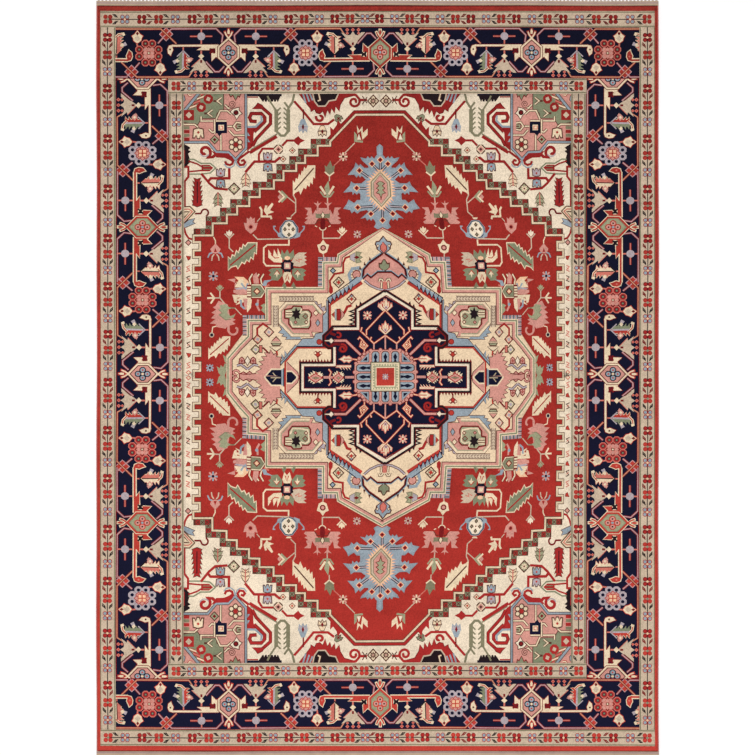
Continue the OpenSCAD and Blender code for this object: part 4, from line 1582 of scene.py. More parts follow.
def medallion_cartoon() -> Cartoon:
    """Draw the whole medallion round its dark heart."""
    c = Cartoon()
    rim = four(medallion_rim())
    # dashed edging that fills the outer corners
    quarter = Cartoon()
    for ground, first, last in (
        (LAVENDER, (-40, 116), (-58, 116)),
        (BLUE, (-56, 118), (-56, 88)),
        (BLUE, (-109, 59.6), (-131, 59.6)),
        (LAVENDER, (-129.6, 60), (-129.6, 41.6)),
    ):
        quarter.line(ground, 4.2, [first, last])
        for k, (x, y, heading) in enumerate(stations([first, last], 2.1)):
            quarter.put(dash((BROWN, PINK)[k % 2]), x, y, heading)
    c.shapes += fourfold(quarter)
    for yarn, near, far in (
        (TAN, 0, 9), (CREAM, 0, 0.9), (GREEN, 0.9, 2.2), (CREAM, 2.2, 3.0), (PINK, 3.0, 5.3),
        (BROWN, 5.3, 6.1),
    ):
        c.band(yarn, rim, near, far)
    quarter = Cartoon()
    # roof over the heart, with its lens
    roof = [
        (4.9, 121.4), (-8, 112.4), (-14, 105.6), (-14.6, 98), (-13, 95), (-7, 90), (0, 86.8), (6.4, 85.4),
    ]
    c.fill(PINK, across(roof))
    quarter.put(corner_octagon(), 0, 0)
    quarter.put(small_flowers(), 0, 0)
    quarter.put(saw_line(), 0, 0)
    quarter.put(end_palmette(), 0, 0)
    quarter.edged(LAVENDER, BROWN, 1.4, [(-13, 95), (-7, 90), (0, 86.8), (8, 85.2)])
    for yarn, width, shift in ((BLUE, 1.9, 1.3), (BLACK, 1.5, 0), (MAROON, 1.0, -1.2)):
        quarter.line(yarn, width, [
            (5, 121.6 + shift), (-8, 112.4 + shift), (-14 - shift * 0.8, 105.4), (-14.8 - shift * 0.8, 97.6),
        ])
    for x, v in ((-7, 114.4), (-12, 109.6), (-16.4, 105.6)):
        quarter.fill(BROWN, [(x - 1, v + 4), (x - 1.8, v), (x + 0.8, v)])
    for yarn, width, shift in ((BLUE, 1.0, 1.0), (BLACK, 1.1, 0), (MAROON, 0.9, -0.9)):
        quarter.line(yarn, width, [
            (-14.4, 96.8 + shift), (-10, 101 + shift), (-6.6, 98 + shift), (0, 103.4 + shift),
            (8, 103.4 + shift),
        ])
    quarter.fill(BROWN, [
        (6.6, 115.6), (5.2, 115.6), (3, 112), (0.6, 112.4), (1, 107.6), (5.3, 104), (6.6, 104),
    ])
    quarter.fill(GREEN, [
        (6.6, 114.6), (5.3, 114.4), (3.9, 110.6), (1.8, 110.6), (2, 107.8), (5.3, 105), (6.6, 105),
    ])
    quarter.edged(CREAM, BROWN, 1.2, [(1.4, 93.8), (2, 96.2), (4.2, 96), (5.4, 94)])
    quarter.edged(CREAM, BROWN, 1.3, [(3.8, 93), (3.6, 87.4)])
    quarter.line(ROSE, 2.6, [(6.4, 93.6), (6.4, 86.6)])
    # blue palmette above the roof
    quarter.fill(BROWN, [
        (4.9, 138.8), (1, 133.6), (-2, 133.2), (-3.2, 130), (-1.8, 128), (-1.4, 125.4), (4.9, 120.6),
        (6.6, 121.6), (6.6, 136),
    ])
    quarter.fill(BLUE, [
        (4.9, 137.2), (1.8, 132.6), (-1.4, 132), (-1.8, 129.8), (-0.2, 127), (0.2, 125.2), (4.9, 122),
        (6.6, 122), (6.6, 134.6),
    ])
    quarter.outlined(IVORY, BROWN, 0.5, diamond(0, 128.6, 1.3, 1.6))
    quarter.line(MAROON, 0.9, [(6, 132.4), (2.6, 128.6), (2.6, 125), (6, 121.8)])
    quarter.fill(ROSE, [(6.6, 132), (5.6, 132), (3, 128.6), (3, 125), (5.6, 122.4), (6.6, 122.4)])
    # green cones on the shoulder
    for x in (-90.4, -81):
        quarter.fill(GREEN, [(x - 2, 87), (x, 91), (x + 2, 87)])
    # thorns and comb outside the heart
    for k in range(4):
        v = 65 - 4.1 * k
        quarter.fill(BLACK, [(-20, v + 2.9), (-22.6, v + 2.3), (-29, v), (-22.6, v - 2.3), (-20, v - 2.9)])
        quarter.fill(IVORY, [(-20, v + 1.6), (-22.4, v + 0.7), (-25.4, v), (-22.4, v - 0.7), (-20, v - 1.6)])
    for x, v in ((-16.6, 70.4), (-20.4, 67.6)):
        quarter.fill(BLACK, [(x - 1.6, v - 1), (x - 0.6, v + 4.6), (x + 3, v)])
    for k in range(11):
        quarter.fill(MAROON, [(-77 + 3 * k, 15.4), (-75.9 + 3 * k, 19), (-74.2 + 3 * k, 15.4)])
    quarter.fill(MAROON, [(-45, 44), (-51, 40), (-51, 33.4), (-46, 30), (-43, 31), (-43, 46)])
    quarter.outlined(IVORY, BROWN, 0.7, [
        (-50.4, 37.2), (-47.4, 37.4), (-45.4, 39.4), (-42.6, 36.6), (-45.4, 34), (-47.4, 36),
    ])
    c.shapes += fourfold(quarter)
    c.band(MAROON, four(heart_edge()), -2.3, -1.6)
    c.band(BLACK, four(heart_edge()), -1.7, 0.4)
    return c


@motif
def dash(c: Cartoon, yarn: Yarn) -> None:
    """Draw one dash of a barred edging."""
    c.fill(yarn, rect(-0.5, -1.9, 0.5, 1.9))


# ---------------------------------------------------------------- dark heart


@motif
def heart_tulip(c: Cartoon) -> None:
    """Draw the tall cream tulip of the dark heart, from its foot."""
    c.fill(ROSE, [
        (0, 0), (-6.6, 5.4), (-5.8, 9.6), (-3.4, 8), (-3.2, 11), (-1.6, 10.4), (0, 14), (1.6, 10.4),
        (3.2, 11), (3.4, 8), (5.8, 9.6), (6.6, 5.4),
    ])
    for side in (-1, 1):
        c.line(CREAM, 1.3, sided(side, [(0, 0.8), (5, 5.6), (5, 7.8)]))
        c.line(CREAM, 1.2, sided(side, [(0, 2.8), (2.3, 6), (2, 9.4)]))
        c.line(CRIMSON, 0.6, sided(side, [(0, 1.8), (3.6, 5.8), (3.2, 8.4)]))
    c.fill(CREAM, [(0, 12.8), (-1.1, 10), (-1, 4), (1, 4), (1.1, 10)])
    c.dot(LAVENDER, 0, 4.6, 1.6, 6)
    c.dot(CRIMSON, 0, 4.6, 0.7, 6)


@motif
def drop_cell(c: Cartoon) -> None:
    """Draw one blue cell with its dark drop, standing on its foot."""
    c.fill(PINK, [(-4.9, 0), (-4.9, 11.4), (-2.8, 13.6), (2.8, 13.6), (4.9, 11.4), (4.9, 0)])
    c.fill(BROWN, [(-3.9, 0), (-3.9, 10.2), (-2.2, 12.4), (2.2, 12.4), (3.9, 10.2), (3.9, 0)])
    c.fill(BLUE, [(-3.3, 0), (-3.3, 9.8), (-1.8, 11.6), (1.8, 11.6), (3.3, 9.8), (3.3, 0)])
    c.fill(NAVY, [(-1.6, 0.4), (-0.8, 3.6), (-2, 6.4), (0, 10.4), (2, 6.4), (0.8, 3.6), (1.6, 0.4)])


@motif
def pink_bloom(c: Cartoon) -> None:
    """Draw the ragged pink bloom of the heart's arms."""
    for x, y, heading in stations([(3.4, 0), (0, 3.6), (-4.6, 0), (0, -3.6), (3.4, 0)], 2.1):
        c.put(thorn(CREAM, 3.6), x, y, heading)
    c.outlined(PINK, CRIMSON, 0.8, diamond(-0.6, 0, 5.2, 4.4))
    c.outlined(SAGE, CRIMSON, 0.5, diamond(-0.4, 0, 2.2, 1.4))


@motif
def quarter_heart(c: Cartoon) -> None:
    """Draw everything in the upper left quarter of the dark heart."""
    c.put(heart_tulip(), 6.4, 64)
    c.put(heart_tulip(), 7.1, 42)
    c.edged(PEACH, CRIMSON, 0.9, [(7.3, 66), (-11, 46.6), (-11, 42)])
    c.edged(PEACH, CRIMSON, 0.9, [(-20, 49), (-3.8, 33.6), (7.3, 41.4)])
    c.edged(PEACH, CRIMSON, 0.9, [(-16.6, 45), (-15.4, 49.6)])
    c.edged(PEACH, CRIMSON, 0.9, [(-7.6, 37), (-6, 40)])
    c.line(PINK, 1.4, [(-3.8, 33.6), (-3.8, 26)])
    c.line(PINK, 1.4, [(7.3, 41.4), (7.3, 26)])
    c.put(star(ROSE, ROSE, 5.0), -10, 61)
    c.put(star(CREAM, SCARLET, 4.2, PINK), -10, 61)
    c.edged(PEACH, CRIMSON, 0.9, [(-13, 24), (-13.2, 30)])
    c.edged(PEACH, CRIMSON, 0.9, [(-13.2, 28), (-17.4, 31), (-15.4, 37.6), (-17.6, 39.8), (-19.4, 37.6)])
    c.edged(PEACH, CRIMSON, 0.9, [(-13.2, 28), (-10, 31.4), (-12.4, 34), (-15.4, 37.6)])
    c.put(lozenge(SCARLET, PEACH, CREAM, 3.2), -13.4, 32.4)
    c.line(MAROON, 2.6, [(-46, 44), (-41, 42)])
    c.line(MAROON, 2.2, coil(-38.4, 41.6, 3.2, 1.2, 120, -160, 10))
    c.line(CRIMSON, 1.3, coil(-38.4, 41.6, 3.2, 1.2, 120, -160, 10))
    c.line(MAROON, 2.4, [(-46, 32.6), (-40, 33.4)] + arc(-34.4, 29.4, 3.4, 110, -170, 8))
    c.line(MAROON, 2.4, coil(-34.2, 29, 4.4, 1.0, 110, -400, 16))
    c.line(CRIMSON, 1.4, coil(-34.2, 29, 4.4, 1.0, 110, -400, 16))
    c.edged(PINK, MAROON, 2.0, [(-43, 36.6), (-31, 36.6), (-16.6, 22.6)])
    c.outlined(CREAM, ROSE, 0.8, [
        (-38, 18.6), (-34.6, 20.4), (-33, 22), (-30.6, 20.8), (-28, 22), (-26, 20), (-24, 18.6), (-26, 17),
        (-28, 15), (-30.6, 16.4), (-33, 15.2), (-34.6, 17),
    ])
    c.line(SCARLET, 0.9, [(-33, 18.6), (-25, 18.6)])
    c.edged(PEACH, CRIMSON, 0.9, [(-24, 18.6), (-20.6, 18), (-19, 15.6)])
    c.edged(CREAM, ROSE, 1.5, [(-41, 11.6), (-26, 11.6)])
    for x in (-37, -34.2, -31.4, -28.6):
        c.outlined(CREAM, ROSE, 0.5, [(x - 1, 11), (x + 0.8, 11), (x + 2, 7.8)])
    c.line(PINK, 1.1, [(-32, 1.6), (-21, 1.6)])
    c.line(PINK, 1.1, [(-53, 1.6), (-43, 1.6)])
    c.put(pink_bloom(), -38, 1.6)
    c.put(pink_bloom(), -60, 1.6, stretch=(1.3, 1))
    c.line(OLIVE, 1.2, [(-64, 1.6), (-57, 1.6)])
    c.edged(PEACH, CRIMSON, 0.9, [(-47, 2), (-45.6, 6), (-48, 9)])


def heart_cartoon() -> Cartoon:
    """Draw the whole dark heart of the medallion."""
    c = Cartoon()
    c.shapes += fourfold(quarter_heart())
    edge = heart_edge()
    white = Cartoon()
    for part in ([to_right(edge[1])] + edge[:4], edge[8:]):
        white.line(MAROON, 1.0, beside(part, 2.6))
        white.line(IVORY, 2.3, beside(part, 1.15))
    white.line(MAROON, 1.6, beside(edge[3:9], 0.8))
    white.outlined(IVORY, BROWN, 0.7, [
        (-52, 37.2), (-47.4, 37.6), (-45.4, 39.6), (-42.4, 36.6), (-45.4, 33.6), (-47.4, 35.8), (-52, 36),
    ])
    c.shapes += fourfold(white)
    # octagon of blue cells round the red square
    x, v = axis_at(0), 1.2
    ring = [(16.6, 26.2), (22.4, 22), (28.4, 14.4), (30, 8)]
    shape = ring + [(a, -b) for a, b in reversed(ring)]
    right = [(x + a, v + b) for a, b in shape]
    left = [(x - a, v + b) for a, b in reversed(shape)]
    c.outlined(PINK, MAROON, 0.8, right + left)
    for a in (-1, 1):
        for b in (-1, 1):
            for along, away in (
                (4.8, 26.2), (14.2, 25.6), (20.6, 22.4), (25.4, 18), (28.6, 13.2), (30, 4.6),
            ):
                c.dot(MAROON, x + a * along, v + b * away, 2.3)
                c.dot(PINK, x + a * along, v + b * away, 1.6)
            c.outlined(BLUE, BROWN, 0.7, [
                (x + a * 16, v + b * 14.4), (x + a * 25, v + b * 14.4), (x + a * 16, v + b * 23.6),
            ])
            c.fill(NAVY, [
                (x + a * 17.6, v + b * 15.8), (x + a * 22, v + b * 15.8), (x + a * 17.6, v + b * 20),
            ])
    for turn in (0, 90, 180, 270):
        for k in (-1, 0, 1):
            away = 13.4 if turn % 180 == 0 else 14.4
            shift = 9.6 * k if turn % 180 == 0 else 8.7 * k
            cos, sin = round(math.cos(math.radians(turn))), round(math.sin(math.radians(turn)))
            c.put(
                drop_cell(), x - sin * away + cos * shift, v + cos * away + sin * shift, turn,
                stretch=(0.98, 0.93 if turn % 180 == 0 else 1.14),
            )
    c.fill(BROWN, rect(x - 14.6, v - 14.6, x + 14.6, v + 14.6))
    c.fill(SAGE, rect(x - 14, v - 14, x + 14, v + 14))
    corners = [(-1, -1), (1, -1), (1, 1), (-1, 1), (-1, -1)]
    c.line(CREAM, 1.0, [(x + a * 12.8, v + b * 12.8) for a, b in corners[:-1]], closed=True)
    for a, b, _ in stations([(x + a * 11.4, v + b * 11.4) for a, b in corners], 2.6):
        c.fill(CREAM, diamond(a, b, 0.9))
    c.fill(CREAM, rect(x - 9.6, v - 9.6, x + 9.6, v + 9.6))
    c.fill(SCARLET, rect(x - 8.6, v - 8.6, x + 8.6, v + 8.6))
    c.put(star(LAVENDER, CREAM, 3.4), x, v)
    return c


# ---------------------------------------------------------------- finishes


def linear(dye: tuple[int, int, int]) -> tuple[float, float, float, float]:
    """Turn a dye's daylight colour, 0 to 255, into the linear light that a shader takes."""
    shares = [c / 255 for c in dye]
    r, g, b = (s / 12.92 if s <= 0.04045 else ((s + 0.055) / 1.055) ** 2.4 for s in shares)
    return (r, g, b, 1.0)


class Value:
    """A shader value or vector that takes part in Python sums."""

    def __init__(self, finish: "Finish", socket: bpy.types.NodeSocket) -> None:
        """Wrap an output socket of a finish's node tree."""
        self.finish = finish
        self.socket = socket

    def _math(self, operation: str, left: object, right: object) -> "Value":
        """Add a Math node."""
        return self.finish.node("Math", {"operation": operation}, {0: left, 1: right})

    def __add__(self, other: object) -> "Value":
        """Add a value."""
        return self._math("ADD", self, other)

    __radd__ = __add__

    def __sub__(self, other: object) -> "Value":
        """Take a value away."""
        return self._math("SUBTRACT", self, other)

    def __rsub__(self, other: object) -> "Value":
        """Take this from a value."""
        return self._math("SUBTRACT", other, self)

    def __mul__(self, other: object) -> "Value":
        """Multiply by a value."""
        return self._math("MULTIPLY", self, other)

    __rmul__ = __mul__

    def stretched(self, x: float, y: float, z: float) -> "Value":
        """Scale a vector on its three axes."""
        return self.finish.node("VectorMath", {"operation": "MULTIPLY"}, {0: self, 1: (x, y, z)})


class Finish:
    """A material being put together from nodes."""

    def __init__(self, name: str, roughness: float, sheen: float = 0.0) -> None:
        """Start a material.

        Args:
            name: The material's name.
            roughness: Roughness, the same all over.
            sheen: Weight of the soft sheen that fibres give, the same all over.
        """
        self.material = bpy.data.materials.new(name)
        self.material.use_nodes = True
        self.tree = self.material.node_tree
        self.shader = self.tree.nodes["Principled BSDF"]
        self.shader.inputs["Roughness"].default_value = roughness
        self.shader.inputs["Specular IOR Level"].default_value = 0.06
        self.shader.inputs["Sheen Weight"].default_value = sheen
        self.shader.inputs["Sheen Roughness"].default_value = 0.5

    def feed(self, socket: bpy.types.NodeSocket, value: object) -> None:
        """Link a value into a socket, or set it there."""
        if isinstance(value, Value):
            self.tree.links.new(value.socket, socket)
        else:
            socket.default_value = value

    def node(
        self, kind: str, settings: dict | None = None, inputs: dict | None = None, output: int | str = 0,
    ) -> Value:
        """Add a node.

        Args:
            kind: The node's type, without its ShaderNode prefix.
            settings: Settings of the node, made before its sockets are filled.
            inputs: Numbers, colours or values for its input sockets.
            output: The output socket that is wanted.

        Returns:
            The output, wrapped.
        """
        made = self.tree.nodes.new("ShaderNode" + kind)
        for name, value in (settings or {}).items():
            setattr(made, name, value)
        for name, value in (inputs or {}).items():
            self.feed(made.inputs[name], value)
        return Value(self, made.outputs[output])

    def noise(self, place: Value, scale: float, detail: float = 2.0) -> Value:
        """Add fractal noise about a half."""
        return self.node("TexNoise", {}, {"Vector": place, "Scale": scale, "Detail": detail})

    def tone(self, colour: tuple[float, float, float, float], value: Value) -> Value:
        """Lighten or darken a colour by a value."""
        return self.node("HueSaturation", {}, {"Color": colour, "Value": value})

    def bump(self, height: Value, distance: float, strength: float = 1.0) -> Value:
        """Turn a height into a normal."""
        return self.node("Bump", {}, {"Height": height, "Distance": distance, "Strength": strength})

    def done(self, colour: Value, normal: Value | None = None) -> bpy.types.Material:
        """Set the colour and the normal, and hand the material over."""
        self.feed(self.shader.inputs["Base Color"], colour)
        if normal is not None:
            self.feed(self.shader.inputs["Normal"], normal)
        return self.material


@dataclass(frozen=True)
class PileWool:
    """Finish of the cut pile in one dyed yarn."""

    yarn: Yarn
    knot: float = 0.0042  # metres from one knot to the next
    depth: float = 0.94  # light that comes back out of the pile
    lots: float = 0.34  # difference between dye lots, which lie as bands across the warp
    wear: float = 0.36  # cloudy wear
    fleck: float = 0.44  # difference between neighbouring knots
    fade: float = 0.0  # how much lighter the yarn gets towards the foot of the rug, for each metre

    def material(self) -> bpy.types.Material:
        """Make the material."""
        finish = Finish(f"wool_{self.yarn.name.lower()}", roughness=0.85, sheen=0.04)
        place = finish.node("TexCoord", output="Object")
        height = finish.node("SeparateXYZ", {}, {0: place}, output=1)
        bands = finish.noise(place.stretched(0.7, 11, 1), 1.0, 3)
        clouds = finish.noise(place.stretched(1, 1.6, 1), 9.0, 4)
        rows = place.stretched(1 / self.knot, 1 / self.knot, 0)
        cells = {"Vector": rows, "Scale": 1.0, "Randomness": 0.7}
        knots = finish.node("TexVoronoi", {"feature": "F1"}, cells)
        tint = finish.node("TexVoronoi", {"feature": "F1"}, cells, output="Color")
        grey = finish.node("RGBToBW", {}, {0: tint})
        shade = self.depth + (bands - 0.5) * self.lots + (clouds - 0.5) * self.wear
        shade = shade + (grey - 0.5) * self.fleck - height * self.fade
        return finish.done(
            finish.tone(linear(self.yarn.value), shade), finish.bump(1.0 - knots, 0.0007, 0.6),
        )


@dataclass(frozen=True)
class SpunYarn:
    """Finish of yarn that is wrapped, woven or knotted and not cut."""

    name: str
    dye: tuple[int, int, int]
    ply: float = 0.0016  # metres from one turn of the ply to the next
    uneven: float = 0.4

    def material(self) -> bpy.types.Material:
        """Make the material."""
        finish = Finish(self.name, roughness=0.75, sheen=0.1)
        place = finish.node("TexCoord", output="Object")
        clouds = finish.noise(place.stretched(1, 1, 1), 22.0, 4)
        fibres = finish.noise(place.stretched(1, 0.35, 1), 1 / self.ply, 2)
        shade = 1.0 + (clouds - 0.5) * self.uneven + (fibres - 0.5) * self.uneven
        return finish.done(finish.tone(linear(self.dye), shade), finish.bump(fibres, 0.0004, 0.8))


# ---------------------------------------------------------------- meshes


def wander(x: float, y: float) -> tuple[float, float, float]:
    """Move a point as hand weaving moves it.

    Args:
        x: Place across the rug, in metres.
        y: Place along the rug, in metres.

    Returns:
        How far it lies from a true drawing on each axis, in metres.
    """
    dx = 0.0011 * math.sin(2.3 * y + 0.7) + 0.0008 * math.sin(7.1 * y + 2.0 + 0.9 * x)
    dy = 0.0012 * math.sin(2.9 * x + 1.1) + 0.0008 * math.sin(8.3 * x + 0.4 + 0.8 * y)
    dz = 0.0005 * math.sin(3.1 * x + 1.7 * y) + 0.0004 * math.sin(9.0 * x - 2.0) * math.sin(7.7 * y + 1.0)
    return (dx, dy, dz)


def make_object(
    name: str,
    verts: list[Corner],
    faces: list[Face],
    materials: list[bpy.types.Material],
    picks: Sequence[int] | None = None,
    smooth: Sequence[bool] | None = None,
) -> bpy.types.Object:
    """Make a mesh object and link it to the scene.

    Args:
        name: The object's name.
        verts: Vertices, in metres.
        faces: Faces, by vertex.
        materials: Its materials.
        picks: The material of each face, by number.
        smooth: Whether each face is shaded smooth; all are if this is left out.

    Returns:
        The object.
    """
    mesh = bpy.data.meshes.new(name)
    mesh.from_pydata(verts, [], faces)
    for material in materials:
        mesh.materials.append(material)
    if picks is not None:
        mesh.polygons.foreach_set("material_index", list(picks))
    mesh.polygons.foreach_set("use_smooth", [True] * len(faces) if smooth is None else list(smooth))
    mesh.update()
    obj = bpy.data.objects.new(name, mesh)
    bpy.context.scene.collection.objects.link(obj)
    return obj


def inside(points: np.ndarray, outline: Outline) -> np.ndarray:
    """Tell which points lie inside an outline.

    Args:
        points: Points, one to a row.
        outline: The outline's corners.

    Returns:
        A truth value for each point.
    """
    px, py = points[:, 0], points[:, 1]
    found = np.zeros(len(points), bool)
    for (ax, ay), (bx, by) in zip(outline, outline[1:] + outline[:1]):
        if ay == by:
            continue
        crosses = (ay > py) != (by > py)
        found ^= crosses & (px < (bx - ax) * (py - ay) / (by - ay) + ax)
    return found


def extent(points: Outline) -> tuple[float, float, float, float]:
    """Return the least and the greatest x, then the least and the greatest y, of an outline."""
    xs, ys = zip(*points)
    return min(xs), max(xs), min(ys), max(ys)


def dense(outline: Outline, step: float) -> Outline:
    """Add points along an outline so that none lie further apart than a step."""
    points = []
    for (ax, ay), (bx, by) in zip(outline, outline[1:] + outline[:1]):
        parts = max(1, math.ceil(math.hypot(bx - ax, by - ay) / step))
        points += [(ax + (bx - ax) * k / parts, ay + (by - ay) * k / parts) for k in range(parts)]
    return points


@dataclass
class PilePiece:
    """One piece of knotted pile, cut out of a cartoon."""

    name: str
    outline: Outline
    cartoon: Cartoon
    ground: Yarn
    slot: str
    holes: list[Outline] = field(default_factory=list)
    grid: float = 9.0  # squares from one relief point to the next
    rim_step: float = 6.0  # squares from one point to the next along the rim, at most

    def keeps(self, points: np.ndarray) -> np.ndarray:
        """Tell which points lie on the piece: inside its outline and outside its holes."""
        kept = inside(points, self.outline)
        for hole in self.holes:
            kept &= ~inside(points, hole)
        return kept

    def chart(self) -> tuple[list[Point], list[tuple[int, int, int]], np.ndarray]:
        """Cut the piece into triangles along every change of yarn.

        Returns:
            The points, the triangles and the yarn of each triangle.
        """
        rims = [dense(o, self.rim_step) for o in [self.outline, *self.holes]]
        x0, x1, y0, y1 = extent(self.outline)
        shapes = []
        for yarn, points in self.cartoon.shapes:
            left, right, low, high = extent(points)
            if right > x0 and left < x1 and high > y0 and low < y1:
                shapes.append((yarn, points))
        verts: list[Point] = []
        edges: list[tuple[int, int]] = []
        for points in rims + [s[1] for s in shapes]:
            first = len(verts)
            verts += points
            edges += [(first + k, first + (k + 1) % len(points)) for k in range(len(points))]
        across_count = int((x1 - x0) / self.grid)
        along_count = int((y1 - y0) / self.grid)
        spots = np.array([
            (x0 + (i + 0.5) * self.grid, y0 + (j + 0.5) * self.grid)
            for i in range(across_count) for j in range(along_count)
        ]).reshape(-1, 2)
        verts += [tuple(p) for p in spots[self.keeps(spots)].tolist()]
        out = delaunay_2d_cdt([Vector(v) for v in verts], edges, [], 0, 1e-4, False)
        points = np.array([(v.x, v.y) for v in out[0]])
        triangles = np.array([tuple(f) for f in out[2]])
        middles = points[triangles].mean(axis=1)
        held = self.keeps(middles)
        triangles, middles = triangles[held], middles[held]
        order = np.argsort(middles[:, 0], kind="stable")
        sorted_x = middles[order, 0]
        yarns = list(Yarn)
        picks = np.full(len(triangles), yarns.index(self.ground))
        for yarn, outline in shapes:
            left, right, low, high = extent(outline)
            near = order[np.searchsorted(sorted_x, left):np.searchsorted(sorted_x, right)]
            near = near[(middles[near, 1] > low) & (middles[near, 1] < high)]
            if len(near):
                picks[near[inside(middles[near], outline)]] = yarns.index(yarn)
        return points.tolist(), triangles.tolist(), picks

    def build(self, wools: dict[Yarn, bpy.types.Material], top: float, foot: float) -> bpy.types.Object:
        """Build the piece as a closed solid standing on the foundation.

        Args:
            wools: The material of each yarn.
            top: Height of the pile's surface, in metres.
            foot: Height of the foundation's upper face, in metres.

        Returns:
            The piece.
        """
        points, triangles, picks = self.chart()
        used = sorted({k for t in triangles for k in t})
        number = {old: new for new, old in enumerate(used)}
        faces = [tuple(number[k] for k in t) for t in triangles]
        uppers = []
        for k in used:
            x, y = points[k][0] * SQUARE, points[k][1] * SQUARE
            dx, dy, dz = wander(x, y)
            uppers.append((x + dx, y + dy, top + dz))
        directed = {(t[k], t[(k + 1) % 3]) for t in faces for k in range(3)}
        rim = sorted((a, b) for a, b in directed if (b, a) not in directed)
        lower_of: dict[int, int] = {}
        verts = list(uppers)
        for a, _ in rim:
            if a not in lower_of:
                lower_of[a] = len(verts)
                verts.append((uppers[a][0], uppers[a][1], foot))
        walls = [(b, a, lower_of[a], lower_of[b]) for a, b in rim]
        owner = {(t[k], t[(k + 1) % 3]): i for i, t in enumerate(faces) for k in range(3)}
        yarns = list(Yarn)
        present = sorted(set(picks.tolist()))
        local = {pick: k for k, pick in enumerate(present)}
        chosen = [local[p] for p in picks.tolist()] + [local[int(picks[owner[edge]])] for edge in rim]
        smooth = [True] * len(faces) + [False] * len(walls)
        worn = [wools[yarns[p]] for p in present]
        obj = make_object(self.name, verts, faces + walls, worn, chosen, smooth)
        close_underside(obj)
        return obj


def close_underside(obj: bpy.types.Object) -> None:
    """Fill the open foot of a piece of pile, so that it is a closed solid."""
    work = bmesh.new()
    work.from_mesh(obj.data)
    rim = [edge for edge in work.edges if edge.is_boundary]
    made = bmesh.ops.triangle_fill(work, use_beauty=False, use_dissolve=False, edges=rim, normal=(0, 0, -1))
    for item in made["geom"]:
        if isinstance(item, bmesh.types.BMFace):
            item.material_index = 0
    bmesh.ops.recalc_face_normals(work, faces=work.faces)
    work.to_mesh(obj.data)
    work.free()


# ---------------------------------------------------------------- sub-assemblies


def seat(piece: bpy.types.Object, node: str, slot: str) -> bpy.types.Object:
    """Put a finished piece in its node's place, and log it."""
    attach(piece, "root")
    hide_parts(node)
    log.info("%s: %d faces", piece.name, len(piece.data.polygons))
    return piece


def woven_slab(
    low: Sequence[float],
    high: Sequence[float],
    columns: int,
    rows: int,
    surface: Callable[[int, int, float], float],
) -> tuple[list[Corner], list[Face]]:
    """Mesh a thin slab of weaving as a grid, closed all round.

    Args:
        low: Lowest corner of its box, in metres.
        high: Highest corner of its box, in metres.
        columns: Cells across.
        rows: Cells along.
        surface: Height of the upper face, from the column, the row and how far the weaving wanders up.

    Returns:
        The vertices, and the faces: upper and lower for each cell, column by column, then the rim.
    """
    verts = []
    for upper in (True, False):
        for i in range(columns + 1):
            for j in range(rows + 1):
                x = low[0] + (high[0] - low[0]) * i / columns
                y = low[1] + (high[1] - low[1]) * j / rows
                dx, dy, dz = wander(x, y)
                verts.append((x + dx, y + dy, surface(i, j, dz) if upper else low[2]))
    base = (columns + 1) * (rows + 1)
    faces: list[Face] = []
    for i in range(columns):
        for j in range(rows):
            a = i * (rows + 1) + j
            b = a + rows + 1
            faces += [(a, b, b + 1, a + 1), (base + a + 1, base + b + 1, base + b, base + a)]
    rim = [i * (rows + 1) for i in range(columns + 1)]
    rim += [columns * (rows + 1) + j for j in range(1, rows + 1)]
    rim += [i * (rows + 1) + rows for i in range(columns - 1, -1, -1)]
    rim += [j for j in range(rows - 1, 0, -1)]
    faces += [(b, a, base + a, base + b) for a, b in zip(rim, rim[1:] + rim[:1])]
    return verts, faces


def node_rect(node: str) -> Outline:
    """Return a straight band's outline in squares, from its place in the frame."""
    low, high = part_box(node)
    return rect(low[0] / SQUARE, low[1] / SQUARE, high[0] / SQUARE, high[1] / SQUARE)


DEEP = (RED, SCARLET, CRIMSON, MAROON, NAVY)  # yarns of darker lots at the head of the rug


